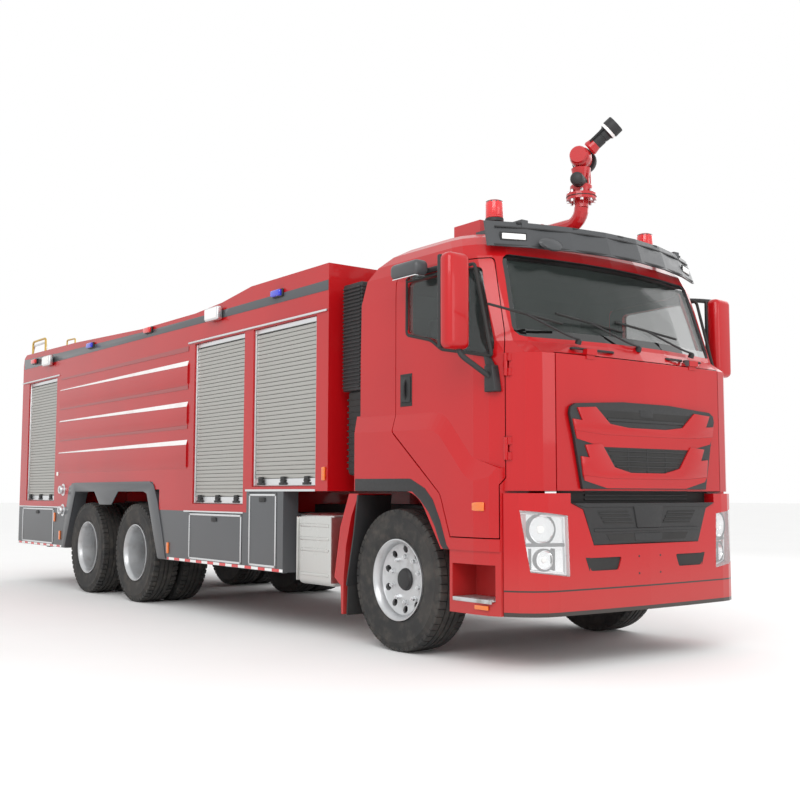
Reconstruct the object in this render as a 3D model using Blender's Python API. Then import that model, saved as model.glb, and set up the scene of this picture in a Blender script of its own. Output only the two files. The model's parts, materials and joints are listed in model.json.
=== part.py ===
"""Airport fire truck: a cab-over chassis with a steered axle and a driven tandem, a locker body and a monitor.

Metres, +Z up, ground at Z = 0. The truck faces -Y and its left side is +X. Every Y below is a distance
behind the front axle; the empty that carries all the pieces puts the origin at mid length.
"""

import math

import bmesh
import bpy
from mathutils import Matrix, Quaternion, Vector

# Clearances
TOUCH = 0.0003
PIN_CLEARANCE = 0.0006
PANEL_GAP = 0.008

# Overall plan
BODY_WIDTH = 2.50
FRONT_OVERHANG = 1.41
WHEELBASE = 4.60
TANDEM_SPREAD = 1.37
REAR_OVERHANG = 2.53

# Wheels and axles
TYRE_RADIUS = 0.525
TYRE_WIDTH = 0.295
TWIN_GAP = 0.045
RIM_RADIUS = 0.2985
RIM_WALL = 0.032
FRONT_TYRE_INSET = 0.07
REAR_TYRE_INSET = 0.005
WHEEL_STEPS = 20
PIN_STEPS = 12
KINGPIN_OFFSET = 0.1325
KINGPIN_RADIUS = 0.024
EYE_RADIUS = 0.044
SPINDLE_RADIUS = 0.045
STEERING_ARM = 0.16

# Frame
FRAME_TOP = 1.06
RAIL_HEIGHT = 0.28
RAIL_WIDTH = 0.07
RAIL_CENTRE = 0.40
SPRING_LENGTH = 1.52

# Cab
CAB_INSET = 0.04
FLARE_INSET = 0.005
CAB_FRONT = -1.385
CAB_REAR = 0.47
CAB_BOTTOM = 1.18
CAB_FLOOR = 1.28
CAB_TOP = 3.05
CAB_WALL = 0.05
FIREWALL = -1.25
SILL_BOTTOM = 0.78
STEP_BOTTOM = 0.36
DOOR_SKIN = 0.06
DOOR_FRONT = -1.165
DOOR_REAR = -0.04
PANEL_HALF = 0.87
PANEL_TOP = 2.12
PANEL_SKIN = 0.045
PANEL_CORNER = 0.34
GLASS_DEPTH = 0.012
GLASS_THICKNESS = 0.010
BUMPER_TOP = 1.165
BUMPER_BOTTOM = 0.36
BUMPER_REAR = -1.165
BUMPER_HALF = 1.215
BUMPER_CORNER = 0.35
BUMPER_SWEEP = 0.42
BUMPER_SKIN = 0.12

# Locker body
LOCKER_FRONT = 0.82
LADDER_STANDOFF = 0.06
LOCKER_TOP = 3.04
LOCKER_BASE = 0.99
SKIRT_BOTTOM = 0.49
SKIRT_FRONT = 1.50
STEP_DOOR_TOP = 1.18
ARCH_CLEARANCE = 0.095
ARCH_RIM = 0.10
ARCH_TOP = 1.18
DECK_DEPTH = 0.10
DECK_RAIL = 0.078
SHUTTER_TOP = 2.63
SHUTTER_BOTTOM = 1.06
SHUTTER_RECESS = 0.05
SHUTTER_SKIN = 0.025
FLAP_SKIN = 0.03
FLAP_LEDGE = 0.02
LOCKER_DEPTH = 0.34

# Monitor
MONITOR_Y = -0.80
PIPE_RADIUS = 0.055
PIPE_HEIGHT = 3.235
FLANGE_TOP = 3.46
FLANGE_RADIUS = 0.115
TRUNNION_HEIGHT = 3.75
TRUNNION_RADIUS = 0.08
NOZZLE_TURN = math.radians(30)
NOZZLE_RISE = math.radians(40)
NOZZLE_LENGTH = 0.36

HALF = BODY_WIDTH / 2
REAR_AXLE = WHEELBASE + TANDEM_SPREAD
LENGTH = FRONT_OVERHANG + REAR_AXLE + REAR_OVERHANG
LOCKER_REAR = REAR_AXLE + REAR_OVERHANG - LADDER_STANDOFF
CAB_HALF = HALF - CAB_INSET
CAB_INNER = CAB_HALF - CAB_WALL
DOOR_PILLAR = CAB_HALF - 0.21
FRONT_TYRE = HALF - FRONT_TYRE_INSET - TYRE_WIDTH
REAR_TYRE = HALF - REAR_TYRE_INSET - 2 * TYRE_WIDTH - TWIN_GAP
KINGPIN = FRONT_TYRE + TYRE_WIDTH / 2 - KINGPIN_OFFSET
RAIL_OUTER = RAIL_CENTRE + RAIL_WIDTH / 2
ARCH_REACH = TYRE_RADIUS + ARCH_CLEARANCE
SIDES = {"right": -1, "left": 1}

# Cab form. Each level gives its height, how far the side comes in, the front at the middle, how far the front
# sweeps back, how deep the corner is, and the rear.
CAB_LEVELS = (
    (CAB_BOTTOM, 0.0, CAB_FRONT, 0.02, 0.45, CAB_REAR),
    (PANEL_TOP - 0.02, 0.0, CAB_FRONT, 0.02, 0.45, CAB_REAR),
    (PANEL_TOP + 0.07, 0.0, CAB_FRONT + 0.055, 0.10, 0.36, CAB_REAR),
    (CAB_TOP - 0.42, 0.0, CAB_FRONT + 0.21, 0.10, 0.32, CAB_REAR - 0.01),
    (CAB_TOP - 0.24, 0.006, CAB_FRONT + 0.275, 0.10, 0.32, CAB_REAR - 0.08),
    (CAB_TOP - 0.15, 0.03, CAB_FRONT + 0.31, 0.10, 0.32, CAB_REAR - 0.19),
    (CAB_TOP - 0.08, 0.08, CAB_FRONT + 0.36, 0.11, 0.33, CAB_REAR - 0.32),
    (CAB_TOP - 0.03, 0.16, CAB_FRONT + 0.44, 0.12, 0.34, CAB_REAR - 0.44),
    (CAB_TOP, 0.30, CAB_FRONT + 0.56, 0.13, 0.34, CAB_REAR - 0.58),
)
HINGE_X = CAB_HALF - 0.055
HINGE_Y = DOOR_FRONT - 0.014
HINGE_HEIGHTS = (1.46, 2.02)
HINGE_RADIUS = 0.014
HINGE_LENGTH = 0.05
LID_HINGE_Y = (CAB_FRONT - 0.012, CAB_FRONT + 0.03)
LID_AXIS = (CAB_FRONT - 0.006, PANEL_TOP - 0.012)
DASH_Y = (-1.17, -0.82)
WHEEL_CENTRE = (0.56, -0.62, 2.04)
COLUMN_TILT = math.radians(28)
RIM_SIZE = 0.225
CORNER_STEPS = 5
CORNER_LEAN = 0.8

# Locker bays: front, rear and lowest height of each
FRONT_BAYS = ((1.00, 2.05, SHUTTER_BOTTOM + 0.16), (2.21, 3.22, SHUTTER_BOTTOM))
REAR_BAY_LENGTH = 1.07
REAR_BAY_INSET = 0.27
BACK_BAY = 0.62

FINISHES = {
    "fire_red": ((0.56, 0.016, 0.014), 0.28, 0.0),
    "body_grey": ((0.11, 0.115, 0.125), 0.42, 0.0),
    "shutter_silver": ((0.56, 0.56, 0.54), 0.42, 0.9),
    "frame_black": ((0.03, 0.03, 0.032), 0.55, 0.0),
    "black_plastic": ((0.022, 0.022, 0.024), 0.5, 0.0),
    "tyre_rubber": ((0.028, 0.028, 0.028), 0.85, 0.0),
    "wheel_silver": ((0.5, 0.5, 0.5), 0.4, 0.9),
    "lamp_glass": ((0.7, 0.72, 0.74), 0.15, 0.3),
    "window_glass": ((0.08, 0.1, 0.1), 0.08, 0.0),
    "seat_fabric": ((0.07, 0.075, 0.085), 0.9, 0.0),
    "cast_iron": ((0.12, 0.12, 0.125), 0.65, 0.5),
}


def clear_scene():
    for existing in list(bpy.data.objects):
        bpy.data.objects.remove(existing, do_unlink=True)


def finish_material(name):
    found = bpy.data.materials.get(name)
    if found:
        return found
    colour, roughness, metallic = FINISHES[name]
    material = bpy.data.materials.new(name)
    material.use_nodes = True
    shader = material.node_tree.nodes["Principled BSDF"]
    shader.inputs["Base Color"].default_value = (*colour, 1.0)
    shader.inputs["Roughness"].default_value = roughness
    shader.inputs["Metallic"].default_value = metallic
    return material


# Shapes. Each returns a bmesh.


def block(x, y, z):
    """A box between three pairs of bounds."""
    mesh = bmesh.new()
    bmesh.ops.create_cube(mesh, size=1.0)
    lows, highs = (Vector(ends) for ends in zip(x, y, z))
    shape = Matrix.Translation((lows + highs) / 2) @ Matrix.Diagonal((*(highs - lows), 1.0))
    bmesh.ops.transform(mesh, matrix=shape, verts=mesh.verts)
    return mesh


def across(axis, first, second, along):
    """The point whose place along an axis is given last, in right-handed order for X, Y or Z."""
    if axis == "X":
        return Vector((along, first, second))
    if axis == "Y":
        return Vector((first, along, second))
    return Vector((first, second, along))


def plate(outline, low, high, axis):
    """A flat outline drawn across an axis and extruded from low to high along it."""
    return bridge([(outline, low), (outline, high)], axis)


def bridge(sections, axis):
    """A solid through flat sections of (outline, place along the axis), all with as many points."""
    mesh = bmesh.new()
    rings = [[mesh.verts.new(across(axis, *point, place)) for point in outline] for outline, place in sections]
    for lower, upper in zip(rings, rings[1:]):
        for index in range(len(lower)):
            mesh.faces.new((lower[index - 1], lower[index], upper[index], upper[index - 1]))
    mesh.faces.new(rings[0])
    mesh.faces.new(rings[-1])
    bmesh.ops.recalc_face_normals(mesh, faces=mesh.faces)
    return mesh


def rounded(corners, steps=4):
    """An outline from (first, second, fillet radius) corners, each fillet an arc of so many steps."""
    points = []
    for index, (*place, radius) in enumerate(corners):
        here = Vector(place)
        if not radius:
            points.append(here)
            continue
        before = (Vector(corners[index - 1][:2]) - here).normalized()
        after = (Vector(corners[(index + 1) % len(corners)][:2]) - here).normalized()
        half = before.angle(after) / 2
        centre = here + (before + after).normalized() * (radius / math.sin(half))
        first = here + before * (radius / math.tan(half)) - centre
        last = here + after * (radius / math.tan(half)) - centre
        sweep = first.angle(last)
        square = (last - first * math.cos(sweep)) / math.sin(sweep)
        turns = [sweep * step / steps for step in range(steps + 1)]
        points += [centre + first * math.cos(turn) + square * math.sin(turn) for turn in turns]
    return points


def turned(outline, centre, axis, steps, flats=False):
    """A profile of (along, radius) points spun round an axis. With flats, its flat sides lie at the radius."""
    along = Vector(axis).normalized()
    first = Vector((0, 0, -1)) if abs(along.z) < 0.9 else Vector((1, 0, 0))
    first = (first - along * first.dot(along)).normalized()
    if flats:
        first = Quaternion(along, math.pi / steps) @ first
        first = first / math.cos(math.pi / steps)
    mesh = bmesh.new()
    verts = [mesh.verts.new(Vector(centre) + along * place + first * radius) for place, radius in outline]
    edges = [mesh.edges.new(pair) for pair in zip(verts, verts[1:])]
    if outline[0][1] and outline[-1][1]:
        edges.append(mesh.edges.new((verts[-1], verts[0])))
    bmesh.ops.spin(
        mesh,
        geom=verts + edges,
        cent=centre,
        axis=along,
        angle=2 * math.pi,
        steps=steps,
        use_merge=True,
    )
    bmesh.ops.remove_doubles(mesh, verts=mesh.verts, dist=1e-5)
    bmesh.ops.recalc_face_normals(mesh, faces=mesh.faces)
    return mesh


def rod(start, end, radius, steps=PIN_STEPS, flats=False):
    """A round bar from one point to another."""
    run = Vector(end) - Vector(start)
    return turned([(0, 0), (0, radius), (run.length, radius), (run.length, 0)], start, run, steps, flats)


def swept(path, radius, sides=PIN_STEPS):
    """A round bar along a path, mitred at each bend."""
    points = [Vector(point) for point in path]
    runs = [(b - a).normalized() for a, b in zip(points, points[1:])]
    normals = [runs[0], *((a + b).normalized() for a, b in zip(runs, runs[1:])), runs[-1]]
    side = runs[0].orthogonal().normalized() * radius
    ring = [points[0] + Quaternion(runs[0], 2 * math.pi * k / sides) @ side for k in range(sides)]
    mesh = bmesh.new()
    rings = [[mesh.verts.new(point) for point in ring]]
    for run, point, normal in zip(runs, points[1:], normals[1:]):
        ring = [p + run * ((point - p).dot(normal) / run.dot(normal)) for p in ring]
        rings.append([mesh.verts.new(p) for p in ring])
    for lower, upper in zip(rings, rings[1:]):
        for index in range(sides):
            mesh.faces.new((lower[index - 1], lower[index], upper[index], upper[index - 1]))
    mesh.faces.new(rings[0])
    mesh.faces.new(rings[-1])
    bmesh.ops.recalc_face_normals(mesh, faces=mesh.faces)
    return mesh


def on_side(mesh, side):
    """A shape built on the left, mirrored across the middle for the right."""
    if side < 0:
        bmesh.ops.scale(mesh, vec=(-1, 1, 1), verts=mesh.verts)
        bmesh.ops.reverse_faces(mesh, faces=mesh.faces)
    return mesh


def both_sides(mesh):
    """The shape and its mirror image, as a list."""
    other = mesh.copy()
    return [mesh, on_side(other, -1)]


def combine(first, others, operation):
    """The first shape with a Boolean of each other one."""
    objects = []
    for mesh in [first, *others]:
        data = bpy.data.meshes.new("scratch")
        mesh.to_mesh(data)
        objects.append(bpy.data.objects.new("scratch", data))
        bpy.context.scene.collection.objects.link(objects[-1])
    for other in objects[1:]:
        step = objects[0].modifiers.new("step", "BOOLEAN")
        step.operation = operation
        step.object = other
    graph = bpy.context.evaluated_depsgraph_get()
    data = bpy.data.meshes.new_from_object(objects[0].evaluated_get(graph))
    result = bmesh.new()
    result.from_mesh(data)
    bmesh.ops.dissolve_limit(result, angle_limit=math.radians(0.05), verts=result.verts, edges=result.edges)
    for scratch in objects:
        bpy.data.objects.remove(scratch, do_unlink=True)
    return result


def joined(first, *others):
    return combine(first, others, "UNION")


def cut(first, *others):
    return combine(first, others, "DIFFERENCE")


def common(first, other):
    return combine(first, [other], "INTERSECT")


def piece(name, mesh, finish, origin=(0, 0, 0)):
    """A named object whose origin is where it turns, shaded smooth with sharp edges kept."""
    data = bpy.data.meshes.new(name)
    bmesh.ops.translate(mesh, vec=-Vector(origin), verts=mesh.verts)
    mesh.to_mesh(data)
    mesh.free()
    data.materials.append(finish_material(finish))
    data.shade_smooth()
    data.set_sharp_from_angle(angle=math.radians(35))
    made = bpy.data.objects.new(name, data)
    made.location = origin
    made.parent = DATUM
    bpy.context.scene.collection.objects.link(made)
    return made


# Chassis


def frame():
    """Two rails with cross members, the cab and bumper mounts, spring hangers and the rear underrun bar."""
    bottom = FRAME_TOP - RAIL_HEIGHT
    rear = LOCKER_REAR - 0.12
    front = -FRONT_OVERHANG + BUMPER_SKIN + TOUCH
    rail = (RAIL_CENTRE - RAIL_WIDTH / 2, RAIL_OUTER)
    middle = (bottom + 0.06, FRAME_TOP - 0.06)
    parts = [block(rail, (front, rear), (bottom, FRAME_TOP))]
    parts.append(block((RAIL_CENTRE - 0.05, RAIL_CENTRE + 0.05), (0.33, 0.43), (FRAME_TOP - 0.1, CAB_BOTTOM - TOUCH)))
    parts.append(block((RAIL_CENTRE - 0.05, RAIL_CENTRE + 0.05), (-1.10, -1.0), (FRAME_TOP - 0.1, CAB_BOTTOM - TOUCH)))
    for eye in (-SPRING_LENGTH / 2, SPRING_LENGTH / 2 - 0.08):
        parts.append(block(rail, (eye, eye + 0.08), (TYRE_RADIUS + 0.135, bottom + 0.02)))
    parts.append(block((RAIL_CENTRE - 0.02, RAIL_CENTRE + 0.02), (rear - 0.08, rear - 0.02), (0.46, bottom + 0.02)))
    crosses = [0.72, 1.7, 3.3, WHEELBASE + TANDEM_SPREAD / 2 - 0.05, REAR_AXLE + 1.0, rear - 0.1]
    members = [block((-RAIL_CENTRE, RAIL_CENTRE), (y, y + 0.1), middle) for y in crosses]
    members.append(block((-0.75, 0.75), (front, front + 0.07), (bottom - 0.14, bottom + 0.1)))
    reach = HALF - LOCKER_DEPTH - 0.01
    members.append(block((-reach, reach), (rear - 0.09, rear), (0.43, 0.53)))
    sides = [shape for part in parts for shape in both_sides(part)]
    piece("chassis_frame", joined(sides[0], *sides[1:], *members), "frame_black")


def engine():
    """The engine and gearbox as one plain block between the rails, with the radiator at its front."""
    side = RAIL_CENTRE - RAIL_WIDTH / 2 - 0.03
    block_mesh = block((-side, side), (-0.80, 0.55), (TYRE_RADIUS + 0.13, CAB_BOTTOM - 0.03))
    radiator = block((-side, side), (-1.15, -0.79), (TYRE_RADIUS + 0.2, CAB_BOTTOM - 0.04))
    mounts = block((-side - 0.02, side + 0.03 - TOUCH), (-0.3, -0.15), (FRAME_TOP - 0.2, FRAME_TOP - 0.1))
    other = block((-side - 0.03 + TOUCH, side), (-0.3, -0.15), (FRAME_TOP - 0.2, FRAME_TOP - 0.1))
    piece("engine_block", joined(block_mesh, radiator, mounts, other), "cast_iron")


def leaf_pack(centre, half_length, end_top, middle_top, thickness):
    """One leaf spring in side view: arched between its ends, thickest in the middle."""
    top = [(centre + half_length * t, middle_top + (end_top - middle_top) * t * t) for t in (-1, -0.5, 0, 0.5, 1)]
    bottom = [(y, z - thickness * (1 - 0.7 * ((y - centre) / half_length) ** 2)) for y, z in reversed(top)]
    return plate(top + bottom, RAIL_CENTRE - RAIL_WIDTH / 2, RAIL_OUTER, "X")


def front_axle():
    """The dropped steel beam with its leaf springs and an eye for each kingpin."""
    hub = TYRE_RADIUS
    pad = hub + 0.005
    neck = KINGPIN - 0.10
    outline = [(-0.045, -0.1), (0.045, -0.1), (0.045, pad - hub), (-0.045, pad - hub)]
    beam = bridge(
        [
            ([(y, hub + z) for y, z in outline], 0.0),
            ([(y, hub + z) for y, z in outline], neck - 0.18),
            ([(y, hub + 0.04 + z * 0.8) for y, z in outline], neck),
            ([(y * 0.7, hub + z * 0.45 + 0.023) for y, z in outline], KINGPIN),
        ],
        "X",
    )
    eye = rod((KINGPIN, 0, hub - 0.05), (KINGPIN, 0, hub + 0.05), EYE_RADIUS)
    hanger = hub + 0.135 - TOUCH
    spring = leaf_pack(0.0, SPRING_LENGTH / 2, hanger, hub + 0.07, 0.07)
    bore = rod((KINGPIN, 0, hub - 0.1), (KINGPIN, 0, hub + 0.1), KINGPIN_RADIUS + PIN_CLEARANCE, flats=True)
    sides = both_sides(joined(beam, eye, spring))
    axle = joined(*sides)
    piece("front_axle", cut(axle, *both_sides(bore)), "frame_black")


def knuckle(name, side):
    """The forged fork that turns on the kingpin and carries the wheel spindle and steering arm."""
    hub = TYRE_RADIUS
    half = [(0.105, 0), (0.105, KINGPIN_RADIUS), (0.10, KINGPIN_RADIUS), (0.10, EYE_RADIUS), (0.055, EYE_RADIUS)]
    half.append((0.055, KINGPIN_RADIUS))
    fork = half + [(-along, radius) for along, radius in reversed(half)]
    pin = turned(fork, (KINGPIN, 0, hub), (0, 0, 1), PIN_STEPS)
    ears = [block((KINGPIN + 0.012, KINGPIN + 0.08), (-0.03, 0.03), (hub + low, hub + low + 0.041)) for low in (-0.098, 0.057)]
    web = block((KINGPIN + 0.055, KINGPIN + 0.085), (-0.05, 0.05), (hub - 0.096, hub + 0.096))
    spindle = rod((KINGPIN + 0.07, 0, hub), (spindle_end(), 0, hub), SPINDLE_RADIUS, WHEEL_STEPS)
    arm = block((KINGPIN - 0.015, KINGPIN + 0.015), (0.031, STEERING_ARM), (hub - 0.095, hub - 0.08))
    boss = rod((KINGPIN, STEERING_ARM, hub - 0.10), (KINGPIN, STEERING_ARM, hub - 0.075), 0.022)
    mesh = on_side(joined(pin, *ears, web, spindle, arm, boss), side)
    piece(name, mesh, "frame_black", (side * KINGPIN, 0, hub))


def spindle_end():
    return FRONT_TYRE + TYRE_WIDTH - 0.075


def track_rod():
    """The bar that ties the two steering arms behind the axle."""
    z = TYRE_RADIUS - 0.10
    bar = block((-KINGPIN, KINGPIN), (STEERING_ARM - 0.018, STEERING_ARM + 0.018), (z - 0.045, z - 0.012))
    eyes = [rod((s * KINGPIN, STEERING_ARM, z - 0.045), (s * KINGPIN, STEERING_ARM, z - PIN_CLEARANCE), 0.024)
            for s in (-1, 1)]
    piece("track_rod", joined(bar, *eyes), "frame_black", (-KINGPIN, STEERING_ARM, z))


def tyre_profile(inner, radius, width):
    """Half-round shoulders and bulged walls from bead to tread, as (across, radius) points."""
    bead = RIM_RADIUS + TOUCH
    wall = radius - bead
    half = [(0.022, bead), (0.0, bead + 0.30 * wall), (0.0, bead + 0.62 * wall), (0.018, radius - 0.022), (0.045, radius)]
    outer = [(width - a, r) for a, r in reversed(half)]
    return [(inner + a, r) for a, r in half + outer]


def front_wheel(label, side):
    """A tubeless tyre on a steel disc wheel that turns on the knuckle's spindle."""
    centre = (0, 0, TYRE_RADIUS)
    tyre = turned(tyre_profile(FRONT_TYRE, TYRE_RADIUS, TYRE_WIDTH), centre, (1, 0, 0), WHEEL_STEPS, True)
    piece(f"front_tyre_{label}", on_side(tyre, side), "tyre_rubber", (side * KINGPIN, 0, TYRE_RADIUS))
    inner, outer = FRONT_TYRE + 0.004, FRONT_TYRE + TYRE_WIDTH - 0.004
    disc = outer - 0.10
    bore = SPINDLE_RADIUS + PIN_CLEARANCE
    end = spindle_end()
    outline = [
        (end + 0.012, 0),
        (end + 0.012, 0.075),
        (end - 0.03, 0.095),
        (disc + 0.03, 0.13),
        (disc + 0.03, 0.19),
        (disc, RIM_RADIUS - RIM_WALL),
        (outer, RIM_RADIUS - RIM_WALL),
        (outer, RIM_RADIUS),
        (inner, RIM_RADIUS),
        (inner, RIM_RADIUS - RIM_WALL),
        (disc - 0.03, RIM_RADIUS - RIM_WALL),
        (disc, 0.18),
        (disc, 0.12),
        (disc - 0.06, 0.12),
        (disc - 0.06, bore),
        (end + 0.003, bore),
        (end + 0.003, 0),
    ]
    wheel = turned(outline, centre, (1, 0, 0), WHEEL_STEPS, True)
    piece(f"front_wheel_{label}", on_side(wheel, side), "wheel_silver", (side * KINGPIN, 0, TYRE_RADIUS))


def rear_wheel(name, side, y):
    """Two tyres on back-to-back disc wheels, joined by the hub that carries them."""
    inner = REAR_TYRE
    outer = HALF - REAR_TYRE_INSET
    middle = (inner + outer) / 2
    barrel = RIM_RADIUS - RIM_WALL
    bore = SPINDLE_RADIUS + PIN_CLEARANCE
    end = rear_spindle_end()
    outer_tyre = tyre_profile(outer - TYRE_WIDTH, TYRE_RADIUS, TYRE_WIDTH)
    outline = [
        (end + 0.012, 0),
        (end + 0.012, 0.09),
        (middle + 0.03, 0.115),
        (middle + 0.03, barrel),
        (outer - 0.004, barrel),
        (outer - 0.004, RIM_RADIUS),
        *reversed(outer_tyre[1:-1]),
        (middle, RIM_RADIUS - 0.01),
        *reversed(tyre_profile(inner, TYRE_RADIUS, TYRE_WIDTH)[1:-1]),
        (inner + 0.004, RIM_RADIUS),
        (inner + 0.004, barrel),
        (middle - 0.03, barrel),
        (middle - 0.03, 0.115),
        (middle - 0.12, 0.115),
        (middle - 0.12, bore),
        (end + 0.003, bore),
        (end + 0.003, 0),
    ]
    wheel = turned(outline, (0, y, TYRE_RADIUS), (1, 0, 0), WHEEL_STEPS, True)
    piece(name, on_side(wheel, side), "tyre_rubber", (side * middle, y, TYRE_RADIUS))


def rear_spindle_end():
    return HALF - REAR_TYRE_INSET - TYRE_WIDTH + 0.10


def rear_bogie():
    """Both driven axles, tied by the inverted leaf packs that pivot under the frame."""
    hub = TYRE_RADIUS
    shoulder = REAR_TYRE + 0.04
    seat_width = (RAIL_CENTRE - 0.05, RAIL_CENTRE + 0.05)
    centre = (WHEELBASE + REAR_AXLE) / 2
    saddle_top = FRAME_TOP - RAIL_HEIGHT - TOUCH
    whole, halves = [], []
    for y in (WHEELBASE, REAR_AXLE):
        whole.append(rod((-shoulder, y, hub), (shoulder, y, hub), 0.075))
        housing = [(-0.2, 0), (-0.2, 0.09), (-0.1, 0.19), (0.10, 0.19), (0.2, 0.09), (0.2, 0)]
        whole.append(turned(housing, (0, y, hub), (1, 0, 0), WHEEL_STEPS))
        halves.append(rod((shoulder - 0.02, y, hub), (rear_spindle_end(), y, hub), SPINDLE_RADIUS, WHEEL_STEPS))
        halves.append(block(seat_width, (y - 0.06, y + 0.06), (hub, hub + 0.13)))
    whole.append(rod((-RAIL_CENTRE, centre, hub + 0.13), (RAIL_CENTRE, centre, hub + 0.13), 0.05))
    halves.append(leaf_pack(centre, TANDEM_SPREAD / 2 + 0.08, hub + 0.12, saddle_top - 0.02, 0.13))
    halves.append(block(seat_width, (centre - 0.1, centre + 0.1), (hub + 0.1, saddle_top)))
    sides = [shape for half in halves for shape in both_sides(half)]
    piece("rear_bogie", joined(whole[0], *whole[1:], *sides), "frame_black")


def tank_outline(front, rear, low, high, radius):
    return rounded([(front, low, radius), (rear, low, radius), (rear, high, radius), (front, high, radius)])


def side_tanks():
    """The fuel tank on the right and the battery box on the left, each strapped to its rail."""
    depth = (0.60, CAB_HALF - 0.005)
    strap = block((RAIL_OUTER + TOUCH, depth[0] + 0.02), (1.0, 1.2), (FRAME_TOP - 0.2, FRAME_TOP - 0.12))
    tank = plate(tank_outline(0.83, 1.36, 0.41, 1.0, 0.09), *depth, "X")
    piece("fuel_tank", on_side(joined(tank, strap), -1), "shutter_silver")
    strap = block((RAIL_OUTER + TOUCH, depth[0] + 0.02), (1.0, 1.2), (FRAME_TOP - 0.2, FRAME_TOP - 0.12))
    box = plate(tank_outline(0.86, 1.42, 0.46, 0.98, 0.03), depth[0], depth[1] - 0.04, "X")
    piece("battery_box", joined(box, strap), "frame_black")


def mudguard(name, side):
    """The curved guard and rubber flap behind a front wheel, on a bracket from the rail."""
    clear = ARCH_REACH
    outline = [
        (clear - 0.18, 1.16),
        (clear - 0.05, 1.16),
        (clear + 0.07, 0.90),
        (clear + 0.15, 0.50),
        (clear + 0.06, 0.44),
        (clear + 0.05, 0.22),
        (clear + 0.025, 0.22),
        (clear + 0.02, 0.50),
        (clear - 0.01, 0.75),
        (clear - 0.08, 0.98),
    ]
    guard = plate(outline, FRONT_TYRE, CAB_HALF, "X")
    arm = block((RAIL_OUTER + TOUCH, FRONT_TYRE + 0.02), (clear + 0.01, clear + 0.06), (0.84, 0.9))
    piece(name, on_side(joined(guard, arm), side), "fire_red")


# Cab


def cab_section(level, inset, front=None):
    """A level's plan outline: swept front, elliptical front corners, straight sides, square rear."""
    _, side_inset, level_front, sweep, depth, rear = level
    half = CAB_HALF - side_inset - inset
    start = (front if front is not None else level_front + inset) + sweep
    flat = half - PANEL_CORNER
    middle = [(flat * t, start - sweep * (1 - t * t)) for t in (0, 0.35, 0.7)]
    arc = []
    for step in range(CORNER_STEPS + 1):
        turn = math.pi / 2 * step / CORNER_STEPS
        arc.append((flat + PANEL_CORNER * math.sin(turn), start + depth * (1 - math.cos(turn))))
    right = middle + arc + [(half, rear - inset - 0.05), (half - 0.05, rear - inset)]
    return right + [(-x, y) for x, y in reversed(right[1:])]


def cab_loft(inset, low=None):
    """The cab's outer form brought in by an inset, from the floor or another low level up."""
    sections = []
    for level in CAB_LEVELS:
        height = level[0]
        if inset and height > PANEL_TOP + 0.3:
            height -= inset
        if inset and height < PANEL_TOP:
            height = max(height, low)
        front = FIREWALL if inset == CAB_WALL and level[0] < PANEL_TOP else None
        sections.append((cab_section(level, inset, front), height))
    return bridge(sections, "Z")


def plan_form(inset):
    """The cab's plan at its base, inset and run up past its full height."""
    return plate(cab_section(CAB_LEVELS[0], inset), STEP_BOTTOM - 0.1, CAB_TOP, "Z")


def flare():
    """The raised fender that runs down the side over the wheel and forward to the step, with its sloped top."""
    def outline(lower, back):
        return rounded(
            [
                (CAB_REAR - back, SILL_BOTTOM, 0),
                (CAB_REAR - back, 1.76 - lower, 0),
                (-0.60 + lower * 0.4, 1.745 - lower, 0.25),
                (-0.92 + lower * 0.4, 1.40 - lower, 0.2),
                (BUMPER_REAR + 0.006 + lower * 0.2, 1.33 - lower, 0),
                (BUMPER_REAR + 0.006 + lower * 0.2, SILL_BOTTOM, 0),
            ]
        )

    base = outline(0.0, 0.0)
    crest = outline(0.13, 0.02)
    return bridge([(base, CAB_HALF - 0.2), (base, CAB_HALF - 0.003), (crest, HALF - FLARE_INSET)], "X")


def arch_cutter():
    """The front wheel opening in side view, from the guard behind to the step well ahead."""
    corners = [
        (CAB_REAR + 0.2, TYRE_RADIUS - 0.2, 0),
        (-ARCH_REACH - 0.03, TYRE_RADIUS - 0.2, 0),
        (-ARCH_REACH - 0.01, TYRE_RADIUS + 0.22, 0.1),
        (-0.34, ARCH_TOP, 0.3),
        (CAB_REAR + 0.2, ARCH_TOP, 0),
    ]
    return plate(rounded(corners, 6), RAIL_OUTER + 0.05, HALF + 0.1, "X")


def cab_outer():
    """The whole outer form: main loft, sill boxes that hold the step wells, and the fender flares."""
    sill = block((0.78, CAB_HALF + 0.1), (BUMPER_REAR + 0.006, -0.30), (SILL_BOTTOM, CAB_BOTTOM + 0.05))
    sills = both_sides(common(sill, plan_form(0.0)))
    flares = both_sides(common(flare(), plan_form(FLARE_INSET - CAB_INSET)))
    form = joined(cab_loft(0.0), *sills, *flares)
    return cut(form, *both_sides(arch_cutter()))


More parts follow.
